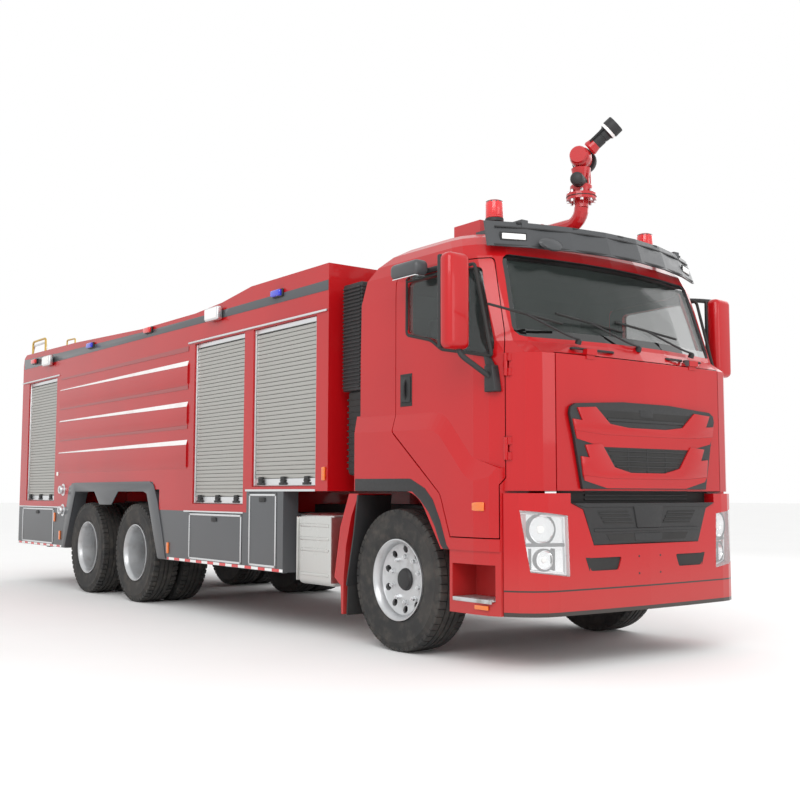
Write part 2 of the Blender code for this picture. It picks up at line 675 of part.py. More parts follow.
def door_outline(grow, x):
    """The door's outline in side view at a distance x from the middle. Its front edge is cut square to the
    curved corner, and its rear edge follows the wheel arch."""
    top, middle, low = ((surface - x) * CORNER_LEAN for surface in (CAB_HALF - 0.16, CAB_HALF - 0.10, CAB_HALF - 0.06))
    corners = [
        (DOOR_REAR + grow, 1.62 - grow, 0.05),
        (DOOR_REAR + grow, CAB_TOP - 0.28 + grow, 0.05),
        (top - 0.957 - grow * 0.8, CAB_TOP - 0.26 + grow, 0.04),
        (middle - 1.115 - grow, PANEL_TOP + 0.14, 0.1),
        (low + DOOR_FRONT - grow, PANEL_TOP - 0.1, 0.1),
        (low + DOOR_FRONT - grow, 1.27 - grow * 0.4, 0),
        (low + BUMPER_REAR + 0.05 - grow, 1.22 - grow * 0.4, 0),
        (low + BUMPER_REAR + 0.05 - grow, SILL_BOTTOM + 0.09 - grow, 0),
        (-0.71 + grow, SILL_BOTTOM + 0.09 - grow, 0),
        (-0.60 + grow, 1.16 - grow * 0.3, 0.1),
        (-0.36 + grow, 1.36 - grow, 0.15),
    ]
    return rounded(corners, 3)


def door_region(grow, inner):
    """All that the door's outline holds, from an inner distance outwards."""
    outer = HALF + 0.1
    return bridge([(door_outline(grow, inner), inner), (door_outline(grow, outer), outer)], "X")


def window_outline(shrink):
    """The side window: a low front part for the view down, stepped up behind."""
    corners = [
        (-0.18 - shrink, CAB_TOP - 0.33 - shrink, 0.04),
        (-0.92 + shrink, CAB_TOP - 0.32 - shrink, 0.04),
        (-1.093 + shrink, 2.09 + shrink, 0.03),
        (-0.58 - shrink * 0.3, 2.19 + shrink, 0.08),
        (-0.46 - shrink * 0.3, 2.27 + shrink, 0.08),
        (-0.18 - shrink, 2.34 + shrink, 0.04),
    ]
    return rounded(corners, 3)


def screen_outline(shrink):
    """The windscreen opening in front view."""
    low, high = PANEL_TOP + 0.10 + shrink, CAB_TOP - 0.22 - shrink
    wide, narrow = CAB_HALF - 0.15 - shrink, CAB_HALF - 0.21 - shrink
    return rounded([(-wide, low, 0.07), (wide, low, 0.07), (narrow, high, 0.07), (-narrow, high, 0.07)], 3)


def hinge_knuckle(height, low, high, radius):
    """A length of hinge barrel, on a door's axis."""
    return rod((HINGE_X, HINGE_Y, height + low), (HINGE_X, HINGE_Y, height + high), radius)


def cab_doors_and_shell():
    """The shell with its openings, and the doors, front panel and glass cut from the same form."""
    outer = cab_outer()
    cavity = cab_loft(CAB_WALL, CAB_FLOOR)
    door_inner = common(plan_form(DOOR_SKIN), block((0.0, HALF), (-1.5, 0.2), (0.5, CAB_FLOOR + 0.02)))
    hollow = cut(outer.copy(), cavity.copy())
    glass_skin = cut(cab_loft(GLASS_DEPTH, CAB_FLOOR), cab_loft(GLASS_DEPTH + GLASS_THICKNESS, CAB_FLOOR + 0.02))
    window = plate(window_outline(0.0), 0.9, HALF + 0.1, "X")

    opening = door_region(PANEL_GAP, DOOR_PILLAR - PANEL_GAP)
    step_well = block((0.86, DOOR_PILLAR), (BUMPER_REAR + 0.06, -0.74), (SILL_BOTTOM + 0.05, CAB_FLOOR))
    windscreen = plate(screen_outline(0.0), -1.6, -0.85, "Y")
    panel_outline = [
        (-PANEL_HALF, CAB_BOTTOM - 0.1),
        (PANEL_HALF, CAB_BOTTOM - 0.1),
        (PANEL_HALF, PANEL_TOP - 0.01),
        (-PANEL_HALF, PANEL_TOP - 0.01),
    ]
    panel_cut = plate([(x * 1.01, z) for x, z in panel_outline], -1.6, CAB_FRONT + PANEL_SKIN + PANEL_GAP + 0.02, "Y")
    shell = cut(hollow.copy(), *both_sides(opening), *both_sides(step_well), windscreen, panel_cut)
    lugs, notches = [], []
    for height in HINGE_HEIGHTS:
        notches.append(hinge_knuckle(height, -HINGE_LENGTH / 2, HINGE_LENGTH / 2, 0.024))
        for low in (-1.5, 0.5):
            ends = sorted((low * HINGE_LENGTH, (low + 1) * HINGE_LENGTH))
            lugs.append(hinge_knuckle(height, *ends, HINGE_RADIUS))
            lug = block(
                (HINGE_X - 0.04, HINGE_X),
                (HINGE_Y - 0.03, HINGE_Y),
                (height + ends[0], height + ends[1]),
            )
            lugs.append(lug)
    lugs = [shape for lug in lugs for shape in both_sides(lug)]
    notches = [shape for notch in notches for shape in both_sides(notch)]
    bars = []
    for end in (-1, 1):
        bars.append(block((end * 0.55 - 0.05, end * 0.55 + 0.05), LID_HINGE_Y, (PANEL_TOP - 0.01, PANEL_TOP + 0.03)))
    shell = cut(joined(shell, *lugs, *bars), *notches)
    piece("cab_shell", shell, "fire_red")

    skin = common(hollow.copy(), door_region(0.0, DOOR_PILLAR))
    skin = cut(skin, door_inner, window.copy())
    for label, side in SIDES.items():
        door = door_with_eyes(skin.copy())
        piece(f"door_{label}", on_side(door, side), "fire_red", (side * HINGE_X, HINGE_Y, CAB_FLOOR))
        pane = common(glass_skin.copy(), plate(window_outline(TOUCH), 0.9, HALF + 0.1, "X"))
        piece(f"door_glass_{label}", on_side(pane, side), "window_glass", (side * HINGE_X, HINGE_Y, CAB_FLOOR))
    screen = common(glass_skin, plate(screen_outline(TOUCH), -1.6, -0.85, "Y"))
    piece("windscreen", screen, "window_glass")
    front_panel(outer)


def front_panel(outer):
    """The lid over the radiator top, hinged along its upper edge below the windscreen."""
    low, high = CAB_BOTTOM + 0.003, PANEL_TOP - 0.01 - PANEL_GAP
    region = block((-PANEL_HALF, PANEL_HALF), (-1.6, CAB_FRONT + PANEL_SKIN + 0.02), (low, high))
    lid = common(outer, region)
    ears = []
    for end in (-1, 1):
        x = (end * 0.55 - 0.04, end * 0.55 + 0.04)
        ears.append(block(x, (CAB_FRONT + 0.002, CAB_FRONT + 0.03), (high - 0.02, PANEL_TOP - 0.01 - PIN_CLEARANCE)))
    piece("front_panel", joined(lid, *ears), "fire_red", (0, *LID_AXIS))


def door_with_eyes(skin):
    """The door with notches round the cab's hinge barrels and its own barrel between them."""
    notches, eyes = [], []
    for height in HINGE_HEIGHTS:
        notches.append(hinge_knuckle(height, -1.6 * HINGE_LENGTH, 1.6 * HINGE_LENGTH, 0.022))
        eyes.append(hinge_knuckle(height, -HINGE_LENGTH / 2 + PIN_CLEARANCE, HINGE_LENGTH / 2 - PIN_CLEARANCE, HINGE_RADIUS))
        eyes.append(
            block(
                (HINGE_X - 0.012, HINGE_X),
                (HINGE_Y, HINGE_Y + 0.05),
                (height - HINGE_LENGTH / 2 + PIN_CLEARANCE, height + HINGE_LENGTH / 2 - PIN_CLEARANCE),
            )
        )
    return joined(cut(skin, *notches), *eyes)


def bumper_outline():
    """The bumper's front in plan: nearly flat across the middle, then part of an ellipse to each end."""
    flat = BUMPER_HALF - BUMPER_CORNER
    start = -FRONT_OVERHANG + 0.03
    last = math.acos(1 - (BUMPER_REAR - start) / BUMPER_SWEEP)
    points = [(0, -FRONT_OVERHANG), (0.45, -FRONT_OVERHANG + 0.01)]
    for turn in (last * step / 4 for step in range(5)):
        points.append((flat + BUMPER_CORNER * math.sin(turn), start + BUMPER_SWEEP * (1 - math.cos(turn))))
    return points


def bumper_set():
    """The full-width bumper with its lamp pockets, the headlights that fill them and the black lower grille."""
    inner_front = -FRONT_OVERHANG + BUMPER_SKIN
    half = bumper_outline() + [(BUMPER_HALF - 0.15, BUMPER_REAR), (0.85, inner_front), (0.0, inner_front)]
    whole = half + [(-x, y) for x, y in reversed(half[1:-1])]
    form = plate(whole, BUMPER_BOTTOM, BUMPER_TOP, "Z")
    grille_top = CAB_BOTTOM - 0.08
    grille = [(0.557, 0.815), (0.655, 1.056), (0.765, grille_top), (0.765, 1.3), (-0.765, 1.3), (-0.765, grille_top),
              (-0.655, 1.056), (-0.557, 0.815)]
    lamp = [(0.776, 0.615), (1.062, 0.649), (1.112, 1.053), (0.792, 1.017)]
    intake = rounded([(0.323, 0.645, 0.02), (0.584, 0.645, 0.02), (0.626, 0.732, 0.01), (0.288, 0.732, 0.01)], 2)
    lamp_depth = (-1.6, inner_front + 0.05)
    pockets = both_sides(plate(lamp, *lamp_depth, "Y"))
    intakes = both_sides(plate(intake, -1.6, -FRONT_OVERHANG + 0.06, "Y"))
    body = cut(form.copy(), plate(grille, -1.6, 0.0, "Y"), *pockets, *intakes)
    piece("bumper", body, "fire_red")

    centre = Vector((0.94, 0.83))
    shrunk = [centre + (Vector(p) - centre) * 0.9985 for p in lamp]
    front_only = block((0.0, 2.0), (-1.6, lamp_depth[1] - TOUCH), (0.0, 2.0))
    lens = common(common(form.copy(), plate(shrunk, -1.6, 0.0, "Y")), front_only)
    for label, side in SIDES.items():
        piece(f"headlight_{label}", on_side(lens.copy(), side), "lamp_glass")

    inside = [(x * 0.9994, z + (TOUCH if z < 1.0 else 0.0)) for x, z in grille]
    inside = [(x, min(z, grille_top)) for x, z in inside if z < 1.2]
    insert = common(form, plate(inside, -1.6, 0.0, "Y"))
    slots = [block((-0.30, -0.18), (-1.6, 0.0), (0.97, 1.06)), block((0.18, 0.30), (-1.6, 0.0), (0.97, 1.06))]
    piece("lower_grille", cut(insert, *slots), "black_plastic")


def sun_visor():
    """The dark visor across the top of the windscreen, with the two beacon mounts and lamps on its ends."""
    low, high = CAB_TOP - 0.18, CAB_TOP + 0.01
    reach = CAB_HALF - 0.09
    sweep = [reach * t for t in (-1, -0.75, -0.45, -0.15, 0.15, 0.45, 0.75, 1)]

    def strip(front, inset, thickness):
        edge = [(x * (1 - inset), front + 0.27 * (x / reach) ** 2) for x in sweep]
        return edge + [(x, y + thickness) for x, y in reversed(edge)]

    front = CAB_FRONT + 0.135
    visor = bridge([(strip(front, 0.0, 0.02), low), (strip(front + 0.06, 0.02, 0.02), high)], "Z")
    bracket = [
        (-1.038, CAB_TOP - 0.03),
        (-0.98, CAB_TOP - 0.03),
        (-0.90, CAB_TOP + TOUCH),
        (-0.55, CAB_TOP + TOUCH),
        (-0.55, CAB_TOP + 0.03),
        (-1.038, CAB_TOP + 0.03),
    ]
    beacon = [(0, 0), (0, 0.05), (0.085, 0.05), (0.085, 0.062), (0.21, 0.062), (0.21, 0)]
    x = reach - 0.29
    mounts = both_sides(plate(bracket, x - 0.03, x + 0.03, "X"))
    mounts += both_sides(turned(beacon, (x, -0.72, CAB_TOP + 0.02), (0, 0, 1), PIN_STEPS))
    piece("sun_visor", joined(visor, *mounts), "black_plastic")


def mirror(label, side):
    """A tall rear-view mirror on two arms from the door, with the kerb mirror beside it on the right."""
    housing = plate(tank_outline(-1.04, -0.90, 2.12, 2.77, 0.04), 1.33, 1.53, "X")
    foot = block((1.10, 1.225), (-1.15, -1.04), (1.84, 2.02))
    low_arm = swept([(1.20, -1.09, 1.93), (1.30, -1.06, 2.0), (1.40, -0.99, 2.09), (1.40, -0.97, 2.2)], 0.02, 8)
    rail_height = (CAB_TOP - 0.30, CAB_TOP - 0.26)
    rail = block((1.12, CAB_HALF + 0.025), (-0.82, -0.36), rail_height)
    middle = sum(rail_height) / 2
    top_arm = swept([(1.20, -0.76, middle), (1.30, -0.85, middle), (1.42, -0.96, middle - 0.01)], 0.019, 8)
    parts = [low_arm, foot, top_arm, rail]
    if label == "right":
        kerb = bridge(
            [
                (rounded([(-0.55, 2.70, 0.03), (-0.22, 2.70, 0.03), (-0.27, 2.82, 0.03), (-0.50, 2.82, 0.03)], 2), 1.29),
                (rounded([(-0.52, 2.71, 0.03), (-0.25, 2.71, 0.03), (-0.29, 2.79, 0.03), (-0.47, 2.79, 0.03)], 2), 1.42),
            ],
            "X",
        )
        parts += [kerb, block((CAB_HALF, 1.32), (-0.45, -0.38), rail_height)]
    mesh = on_side(cut(joined(housing, *parts), cab_loft(-TOUCH, 0.0)), side)
    piece(f"mirror_{label}", mesh, "fire_red", (side * HINGE_X, HINGE_Y, CAB_FLOOR))


def cab_step(name, side):
    """The lower step box ahead of the wheel, open on its outer face."""
    box = block((0.92, HALF - 0.015), (BUMPER_REAR + 0.006, -ARCH_REACH - 0.07), (STEP_BOTTOM, SILL_BOTTOM - TOUCH))
    tread = block((1.02, HALF + 0.1), (-1.12, -ARCH_REACH - 0.10), (STEP_BOTTOM + 0.09, STEP_BOTTOM + 0.33))
    box = common(box, plan_form(-0.025))
    piece(name, on_side(cut(box, tread), side), "fire_red")


def column_axis():
    return Vector((0, math.sin(COLUMN_TILT), math.cos(COLUMN_TILT)))


def dashboard():
    """The dash across the cab under the screen, on the engine cover, with the steering column."""
    outline = [
        (DASH_Y[0], 1.70),
        (DASH_Y[1], 1.78),
        (DASH_Y[1], 2.02),
        (DASH_Y[1] - 0.10, 2.13),
        (DASH_Y[0], 2.13),
    ]
    half = CAB_INNER - 0.6 * PANEL_CORNER
    dash = plate(outline, -half, half, "X")
    floor = CAB_FLOOR + TOUCH
    cover = block((-0.28, 0.28), (DASH_Y[0], 0.20), (floor, floor + 0.28))
    centre = block((-0.2, 0.2), (DASH_Y[0], DASH_Y[1] - 0.02), (floor, 1.75))
    end = Vector(WHEEL_CENTRE) - column_axis() * 0.055
    column = rod(end - column_axis() * 0.30, end, 0.04)
    binnacle = block((WHEEL_CENTRE[0] - 0.1, WHEEL_CENTRE[0] + 0.1), (DASH_Y[1] - 0.08, DASH_Y[1] + 0.10), (1.72, 1.92))
    piece("dashboard", joined(dash, cover, centre, column, binnacle), "black_plastic")


def steering_wheel():
    """The rim, spokes and boss on the column's axis."""
    axis = column_axis()
    section = [(0.014 * math.cos(k * math.pi / 3), RIM_SIZE + 0.014 * math.sin(k * math.pi / 3)) for k in range(6)]
    rim = turned(section, WHEEL_CENTRE, axis, 20)
    start = Vector(WHEEL_CENTRE) - axis * (0.055 - PIN_CLEARANCE)
    boss = rod(start, Vector(WHEEL_CENTRE) + axis * 0.01, 0.055)
    spokes = []
    for turn in (0, 130, 230):
        spoke = Quaternion(axis, math.radians(turn)) @ axis.cross(Vector((1, 0, 0)))
        centre = Vector(WHEEL_CENTRE) - axis * 0.01
        spokes.append(rod(centre, centre + spoke * RIM_SIZE, 0.01, 6))
    piece("steering_wheel", joined(rim, boss, *spokes), "black_plastic", WHEEL_CENTRE)


def seat(name, x):
    """A cab seat: base box, cushion, backrest and head restraint in one block form."""
    floor = CAB_FLOOR + TOUCH
    cushion = 0.42
    outline = rounded(
        [
            (-0.50, floor + cushion, 0.05),
            (-0.50, floor + cushion - 0.12, 0.03),
            (-0.42, floor + cushion - 0.14, 0),
            (-0.40, floor, 0),
            (0.02, floor, 0),
            (0.04, floor + cushion - 0.14, 0),
            (0.22, floor + 1.05, 0.02),
            (0.10, floor + 1.10, 0.02),
            (-0.06, floor + cushion + 0.03, 0.04),
        ],
        3,
    )
    side = plate(outline, x - 0.25, x + 0.25, "X")
    head = plate(tank_outline(0.13, 0.23, floor + 1.06, floor + 1.28, 0.03), x - 0.14, x + 0.14, "X")
    piece(name, joined(side, head), "seat_fabric")


def air_intake():
    """The tall black intake behind the right of the cab, on its own foot from the frame side."""
    x = (1.0, CAB_HALF - 0.03)
    stack = block(x, (CAB_REAR + TOUCH, LOCKER_FRONT - 0.08), (1.97, CAB_TOP - 0.2))
    duct = block((1.02, CAB_HALF - 0.06), (CAB_REAR + 0.02, LOCKER_FRONT - 0.12), (1.3, 2.0))
    piece("air_intake", on_side(joined(stack, duct), -1), "black_plastic")


# Locker body


def arch_outline(grow, top):
    """The tandem's wheel opening in side view."""
    front = WHEELBASE - ARCH_REACH - grow
    rear = REAR_AXLE + ARCH_REACH + grow + 0.06
    slope = 0.30
    return [
        (front, SKIRT_BOTTOM - 0.1, 0),
        (front, SKIRT_BOTTOM, 0),
        (front + slope, top, 0.08),
        (rear - slope, top, 0.08),
        (rear, SKIRT_BOTTOM, 0),
        (rear, SKIRT_BOTTOM - 0.1, 0),
    ]


def hump(grow):
    """The part of the arch panel that stands above the locker base."""
    front = WHEELBASE - ARCH_REACH - ARCH_RIM - grow + 0.12
    rear = REAR_AXLE + ARCH_REACH + ARCH_RIM + grow - 0.06
    top = ARCH_TOP + ARCH_RIM + grow
    return [(front, LOCKER_BASE), (front + 0.14, top), (rear - 0.14, top), (rear, LOCKER_BASE)]


def rear_bay():
    rear = LOCKER_REAR - REAR_BAY_INSET
    return (rear - REAR_BAY_LENGTH, rear, SHUTTER_BOTTOM)


def roof_line():
    """The side wall's top edge: high at the front, dipping behind it, rising gently to the rear."""
    dip = LOCKER_TOP - 0.10
    rear_top = LOCKER_REAR - 0.12
    return [
        (LOCKER_FRONT, LOCKER_TOP),
        (LOCKER_FRONT + 1.28, LOCKER_TOP),
        (LOCKER_FRONT + 1.85, dip + 0.03),
        (LOCKER_FRONT + 2.40, dip),
        (LOCKER_FRONT + 3.70, dip),
        (LOCKER_REAR - 2.0, dip + 0.07),
        (rear_top, LOCKER_TOP),
        (rear_top + 0.09, LOCKER_TOP - 0.04),
        (LOCKER_REAR, LOCKER_TOP - 0.15),
    ]


def locker_body():
    """The tank and locker block that sits on the rails, with its sunk deck, shutter bays and wheel tunnels."""
    outline = [(LOCKER_FRONT, STEP_DOOR_TOP), *roof_line(), (LOCKER_REAR, LOCKER_BASE), (2.14, LOCKER_BASE),
               (2.14, STEP_DOOR_TOP)]
    form = plate(outline, -HALF, HALF, "X")
    inner = HALF - DECK_RAIL
    front, rear = LOCKER_FRONT + DECK_RAIL, LOCKER_REAR - DECK_RAIL
    deck = block((-inner, inner), (front, rear), (LOCKER_TOP - DECK_DEPTH - 0.06, LOCKER_TOP + 0.2))
    cuts = [deck, block((-0.52, 0.52), (0.0, LOCKER_REAR + 1), (0.5, FRAME_TOP + TOUCH))]
    tunnel = block((0.5, HALF + 0.1), (WHEELBASE - ARCH_REACH, REAR_AXLE + ARCH_REACH), (0.5, ARCH_TOP + 0.02))
    arch = plate(hump(TOUCH), 1.1 - TOUCH, HALF + 0.1, "X")
    cuts += both_sides(tunnel) + both_sides(arch)
    for front, rear, low in (*FRONT_BAYS, rear_bay()):
        bay = block((HALF - SHUTTER_RECESS, HALF + 0.1), (front, rear), (low, SHUTTER_TOP))
        cuts += both_sides(bay)
    back = (LOCKER_REAR - SHUTTER_RECESS, LOCKER_REAR + 0.1)
    cuts.append(block((-BACK_BAY, BACK_BAY), back, (SHUTTER_BOTTOM, SHUTTER_TOP)))
    piece("locker_body", cut(form, *cuts), "fire_red")


def shutter(name, bay, side):
    """A roller shutter's closed curtain in its bay, with the bottom rail standing proud."""
    front, rear, low = bay
    outer = HALF - 0.012
    curtain = block(
        (HALF - SHUTTER_RECESS + TOUCH, HALF - SHUTTER_RECESS + SHUTTER_SKIN),
        (front + TOUCH, rear - TOUCH),
        (low + TOUCH, SHUTTER_TOP - TOUCH),
    )
    rail = block((HALF - SHUTTER_RECESS + 0.01, outer), (front + 0.03, rear - 0.03), (low + 0.01, low + 0.08))
    piece(name, on_side(joined(curtain, rail), side), "shutter_silver")


def back_shutter():
    """The roller shutter over the pump bay in the rear wall."""
    inner = LOCKER_REAR - SHUTTER_RECESS
    curtain = block(
        (-BACK_BAY + TOUCH, BACK_BAY - TOUCH),
        (inner + TOUCH, inner + SHUTTER_SKIN),
        (SHUTTER_BOTTOM + TOUCH, SHUTTER_TOP - TOUCH),
    )
    low = SHUTTER_BOTTOM + 0.01
    rail = block((-BACK_BAY + 0.03, BACK_BAY - 0.03), (inner + 0.01, LOCKER_REAR - 0.012), (low, low + 0.07))
    piece("shutter_back", joined(curtain, rail), "shutter_silver")


def flap_bays():
    """Each lower locker as (name, front, rear, top)."""
    rear_front = REAR_AXLE + ARCH_REACH + ARCH_RIM + 0.40
    low = LOCKER_BASE - 0.02
    return (
        ("step", SKIRT_FRONT + 0.11, 2.09, STEP_DOOR_TOP - 0.02),
        ("front", 2.22, min(3.28, WHEELBASE - ARCH_REACH - ARCH_RIM - 0.3), low),
        ("rear", rear_front, LOCKER_REAR - 0.16, low),
    )


def skirt(name, side):
    """The grey lower side: locker boxes before and behind the tandem and the arch panel between them."""
    base = LOCKER_BASE - TOUCH
    step_top = STEP_DOOR_TOP - TOUCH
    arch = rounded(arch_outline(0.0, ARCH_TOP), 3)[1:-1]
    outline = [
        (SKIRT_FRONT, step_top),
        (SKIRT_FRONT, SKIRT_BOTTOM),
        *arch,
        (LOCKER_REAR, SKIRT_BOTTOM),
        (LOCKER_REAR, base),
        *((y, max(z, base)) for y, z in reversed(hump(0.0))),
        (2.14 - TOUCH, base),
        (2.14 - TOUCH, step_top),
    ]
    panel = plate(outline, 1.1, HALF, "X")
    inner = HALF - LOCKER_DEPTH
    front_box = block((inner, 1.15), (SKIRT_FRONT, WHEELBASE - ARCH_REACH - ARCH_RIM), (SKIRT_BOTTOM, base))
    rear_box = block((inner, 1.15), (REAR_AXLE + ARCH_REACH + ARCH_RIM + 0.1, LOCKER_REAR), (SKIRT_BOTTOM, base))
    cuts = []
    for _, front, rear, top in flap_bays():
        low = SKIRT_BOTTOM + 0.03
        door = ((HALF - FLAP_SKIN - 0.006, HALF + 0.1), (front - PANEL_GAP, rear + PANEL_GAP))
        cuts.append(block(*door, (low - PIN_CLEARANCE, top + PANEL_GAP)))
        pocket_top = min(top - FLAP_LEDGE, base - 0.04)
        pocket = ((inner + 0.03, HALF), (front + FLAP_LEDGE, rear - FLAP_LEDGE))
        cuts.append(block(*pocket, (low + FLAP_LEDGE, pocket_top)))
    mesh = cut(joined(panel, front_box, rear_box), *cuts)
    piece(name, on_side(mesh, side), "body_grey")


def flap_door(label, side, bay):
    """A locker door hinged along its bottom edge, folding down flat as a step."""
    kind, front, rear, top = bay
    low = SKIRT_BOTTOM + 0.03
    mesh = block((HALF - FLAP_SKIN, HALF), (front, rear), (low, top))
    origin = (side * HALF, (front + rear) / 2, low)
    piece(f"flap_{kind}_{label}", on_side(mesh, side), "body_grey", origin)


def rear_ladder():
    """The fixed ladder on the right of the rear wall, its rails carried over the roof edge as handholds."""
    rear = LOCKER_REAR + TOUCH
    y = REAR_AXLE + REAR_OVERHANG - 0.016
    parts = []
    for x in (0.76, 1.12):
        path = [(x, y, 0.62), (x, y, LOCKER_TOP + 0.05), (x, y - 0.06, LOCKER_TOP + 0.15)]
        path += [(x, y - 0.5, LOCKER_TOP + 0.15), (x, y - 0.56, LOCKER_TOP + 0.09), (x, y - 0.56, deck_height() + TOUCH)]
        parts.append(swept(path, 0.016, 8))
        for z in (0.75, 2.7):
            parts.append(block((x - 0.015, x + 0.015), (rear, y), (z, z + 0.04)))
    for step in range(7):
        z = 0.80 + step * 0.31
        parts.append(rod((0.76, y, z), (1.12, y, z), 0.013, 8))
    piece("rear_ladder", on_side(joined(parts[0], *parts[1:]), -1), "shutter_silver")


def deck_height():
    return LOCKER_TOP - DECK_DEPTH - 0.06


# Monitor


def monitor_pipe():
    """The feed pipe from the body over the cab roof to the monitor flange, resting on a roof beam."""
    bend = 0.12
    arc = [(0, MONITOR_Y + bend - bend * math.sin(t), PIPE_HEIGHT + bend - bend * math.cos(t))
           for t in (math.radians(15 * k) for k in range(7))]
    riser = LOCKER_FRONT + DECK_RAIL + 0.2
    back = [(0, riser - 0.1 + 0.1 * math.sin(t), PIPE_HEIGHT - 0.1 + 0.1 * math.cos(t))
            for t in (math.radians(22.5 * k) for k in range(5))]
    path = [*reversed(arc), *back, (0, riser, deck_height() + TOUCH)]
    pipe = swept(path, PIPE_RADIUS)
    stub = rod((0, MONITOR_Y, PIPE_HEIGHT + bend - 0.001), (0, MONITOR_Y, FLANGE_TOP), PIPE_RADIUS * 0.98)
    flange = rod((0, MONITOR_Y, FLANGE_TOP - 0.05), (0, MONITOR_Y, FLANGE_TOP), FLANGE_RADIUS, 16)
    top = PIPE_HEIGHT - PIPE_RADIUS + 0.012
    beam = block((-0.8, 0.8), (-0.53, -0.23), (CAB_TOP + 0.03, top))
    feet = [block((x - 0.06, x + 0.06), (-0.5, -0.26), (CAB_TOP + TOUCH, CAB_TOP + 0.04)) for x in (-0.6, 0.6)]
    piece("monitor_pipe", joined(pipe, stub, flange, beam, *feet), "fire_red")


def monitor_frame():
    """The nozzle's heading and the trunnion's direction at rest."""
    heading = Vector((math.sin(NOZZLE_TURN), -math.cos(NOZZLE_TURN), 0))
    trunnion = heading.cross(Vector((0, 0, 1)))
    return heading, trunnion


def monitor_swivel():
    """The turning base: gearbox, slew motor, riser and the trunnion housing at its top."""
    low = FLANGE_TOP + PIN_CLEARANCE
    heading, trunnion = monitor_frame()
    base = Vector((0, MONITOR_Y, 0))
    ring = rod(base + Vector((0, 0, low)), base + Vector((0, 0, low + 0.07)), 0.085, 16)
    riser = rod(base + Vector((0, 0, low + 0.05)), base + Vector((0, 0, TRUNNION_HEIGHT)), PIPE_RADIUS)
    motor_z = Vector((0, 0, low + 0.085))
    motor = rod(base + motor_z - trunnion * 0.17, base + motor_z + trunnion * 0.12, 0.052)
    centre = base + Vector((0, 0, TRUNNION_HEIGHT))
    housing = rod(centre - trunnion * 0.06, centre + trunnion * 0.06, TRUNNION_RADIUS, 16)
    piece("monitor_swivel", joined(ring, riser, motor, housing), "fire_red", (0, MONITOR_Y, FLANGE_TOP))


def monitor_nozzle():
    """The elevating barrel in its yoke, with the wide tip."""
    heading, trunnion = monitor_frame()
    centre = Vector((0, MONITOR_Y, TRUNNION_HEIGHT))
    aim = heading * math.cos(NOZZLE_RISE) + Vector((0, 0, math.sin(NOZZLE_RISE)))
    up = trunnion.cross(aim)
    parts = []
    inner = 0.06 + PIN_CLEARANCE
    for side in (-1, 1):
        cheek = rod(centre + trunnion * side * inner, centre + trunnion * side * (inner + 0.025), 0.07, 16)
        parts.append(cheek)
        arm = block((inner, inner + 0.025), (0.0, 0.14), (-0.05, 0.05))
        turn = Matrix((trunnion * side, aim, up)).transposed().to_4x4()
        if side < 0:
            bmesh.ops.reverse_faces(arm, faces=arm.faces)
        bmesh.ops.transform(arm, matrix=Matrix.Translation(centre) @ turn, verts=arm.verts)
        bmesh.ops.recalc_face_normals(arm, faces=arm.faces)
        parts.append(arm)
    yoke_low, yoke_high = centre + aim * 0.095, centre + aim * 0.145
    parts.append(rod(yoke_low, yoke_high, 0.095, 16))
    profile = [(0, 0), (0, 0.05), (NOZZLE_LENGTH - 0.24, 0.05), (NOZZLE_LENGTH - 0.2, 0.068), (NOZZLE_LENGTH - 0.13, 0.072),
               (NOZZLE_LENGTH - 0.13, 0.055), (NOZZLE_LENGTH - 0.18, 0.03), (NOZZLE_LENGTH - 0.18, 0)]
    parts.append(turned(profile, yoke_high - aim * 0.01, aim, 16))
    piece("monitor_nozzle", joined(parts[0], *parts[1:]), "black_plastic", tuple(centre))


clear_scene()
DATUM = bpy.data.objects.new("front_axle_datum", None)
DATUM.location = (0, FRONT_OVERHANG - LENGTH / 2, 0)
bpy.context.scene.collection.objects.link(DATUM)

frame()
engine()
front_axle()
track_rod()
rear_bogie()
side_tanks()
for LABEL, SIDE in SIDES.items():
    knuckle(f"knuckle_{LABEL}", SIDE)
    front_wheel(LABEL, SIDE)
    rear_wheel(f"rear_wheels_1_{LABEL}", SIDE, WHEELBASE)
    rear_wheel(f"rear_wheels_2_{LABEL}", SIDE, REAR_AXLE)
    mudguard(f"mudguard_{LABEL}", SIDE)
    cab_step(f"cab_step_{LABEL}", SIDE)
    mirror(LABEL, SIDE)
    skirt(f"skirt_{LABEL}", SIDE)
    for NUMBER, BAY in enumerate((*FRONT_BAYS, rear_bay()), 1):
        shutter(f"shutter_{NUMBER}_{LABEL}", BAY, SIDE)
    for FLAP in flap_bays():
        flap_door(LABEL, SIDE, FLAP)
cab_doors_and_shell()
bumper_set()
sun_visor()
dashboard()
steering_wheel()
seat("seat_driver", 0.58)
seat("seat_passenger", -0.58)
air_intake()
locker_body()
back_shutter()
rear_ladder()
monitor_pipe()
monitor_swivel()
monitor_nozzle()
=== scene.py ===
"""The looks of the airport fire truck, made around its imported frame.

Lengths are in metres. Shapes are drawn from the front axle: y is 0 there and grows towards the rear, x is 0
on the centre line and grows towards the truck's left, and z is 0 on the ground.
"""

import json
from math import cos, pi, radians, sin

import bmesh
import bpy
from mathutils import Matrix, Vector


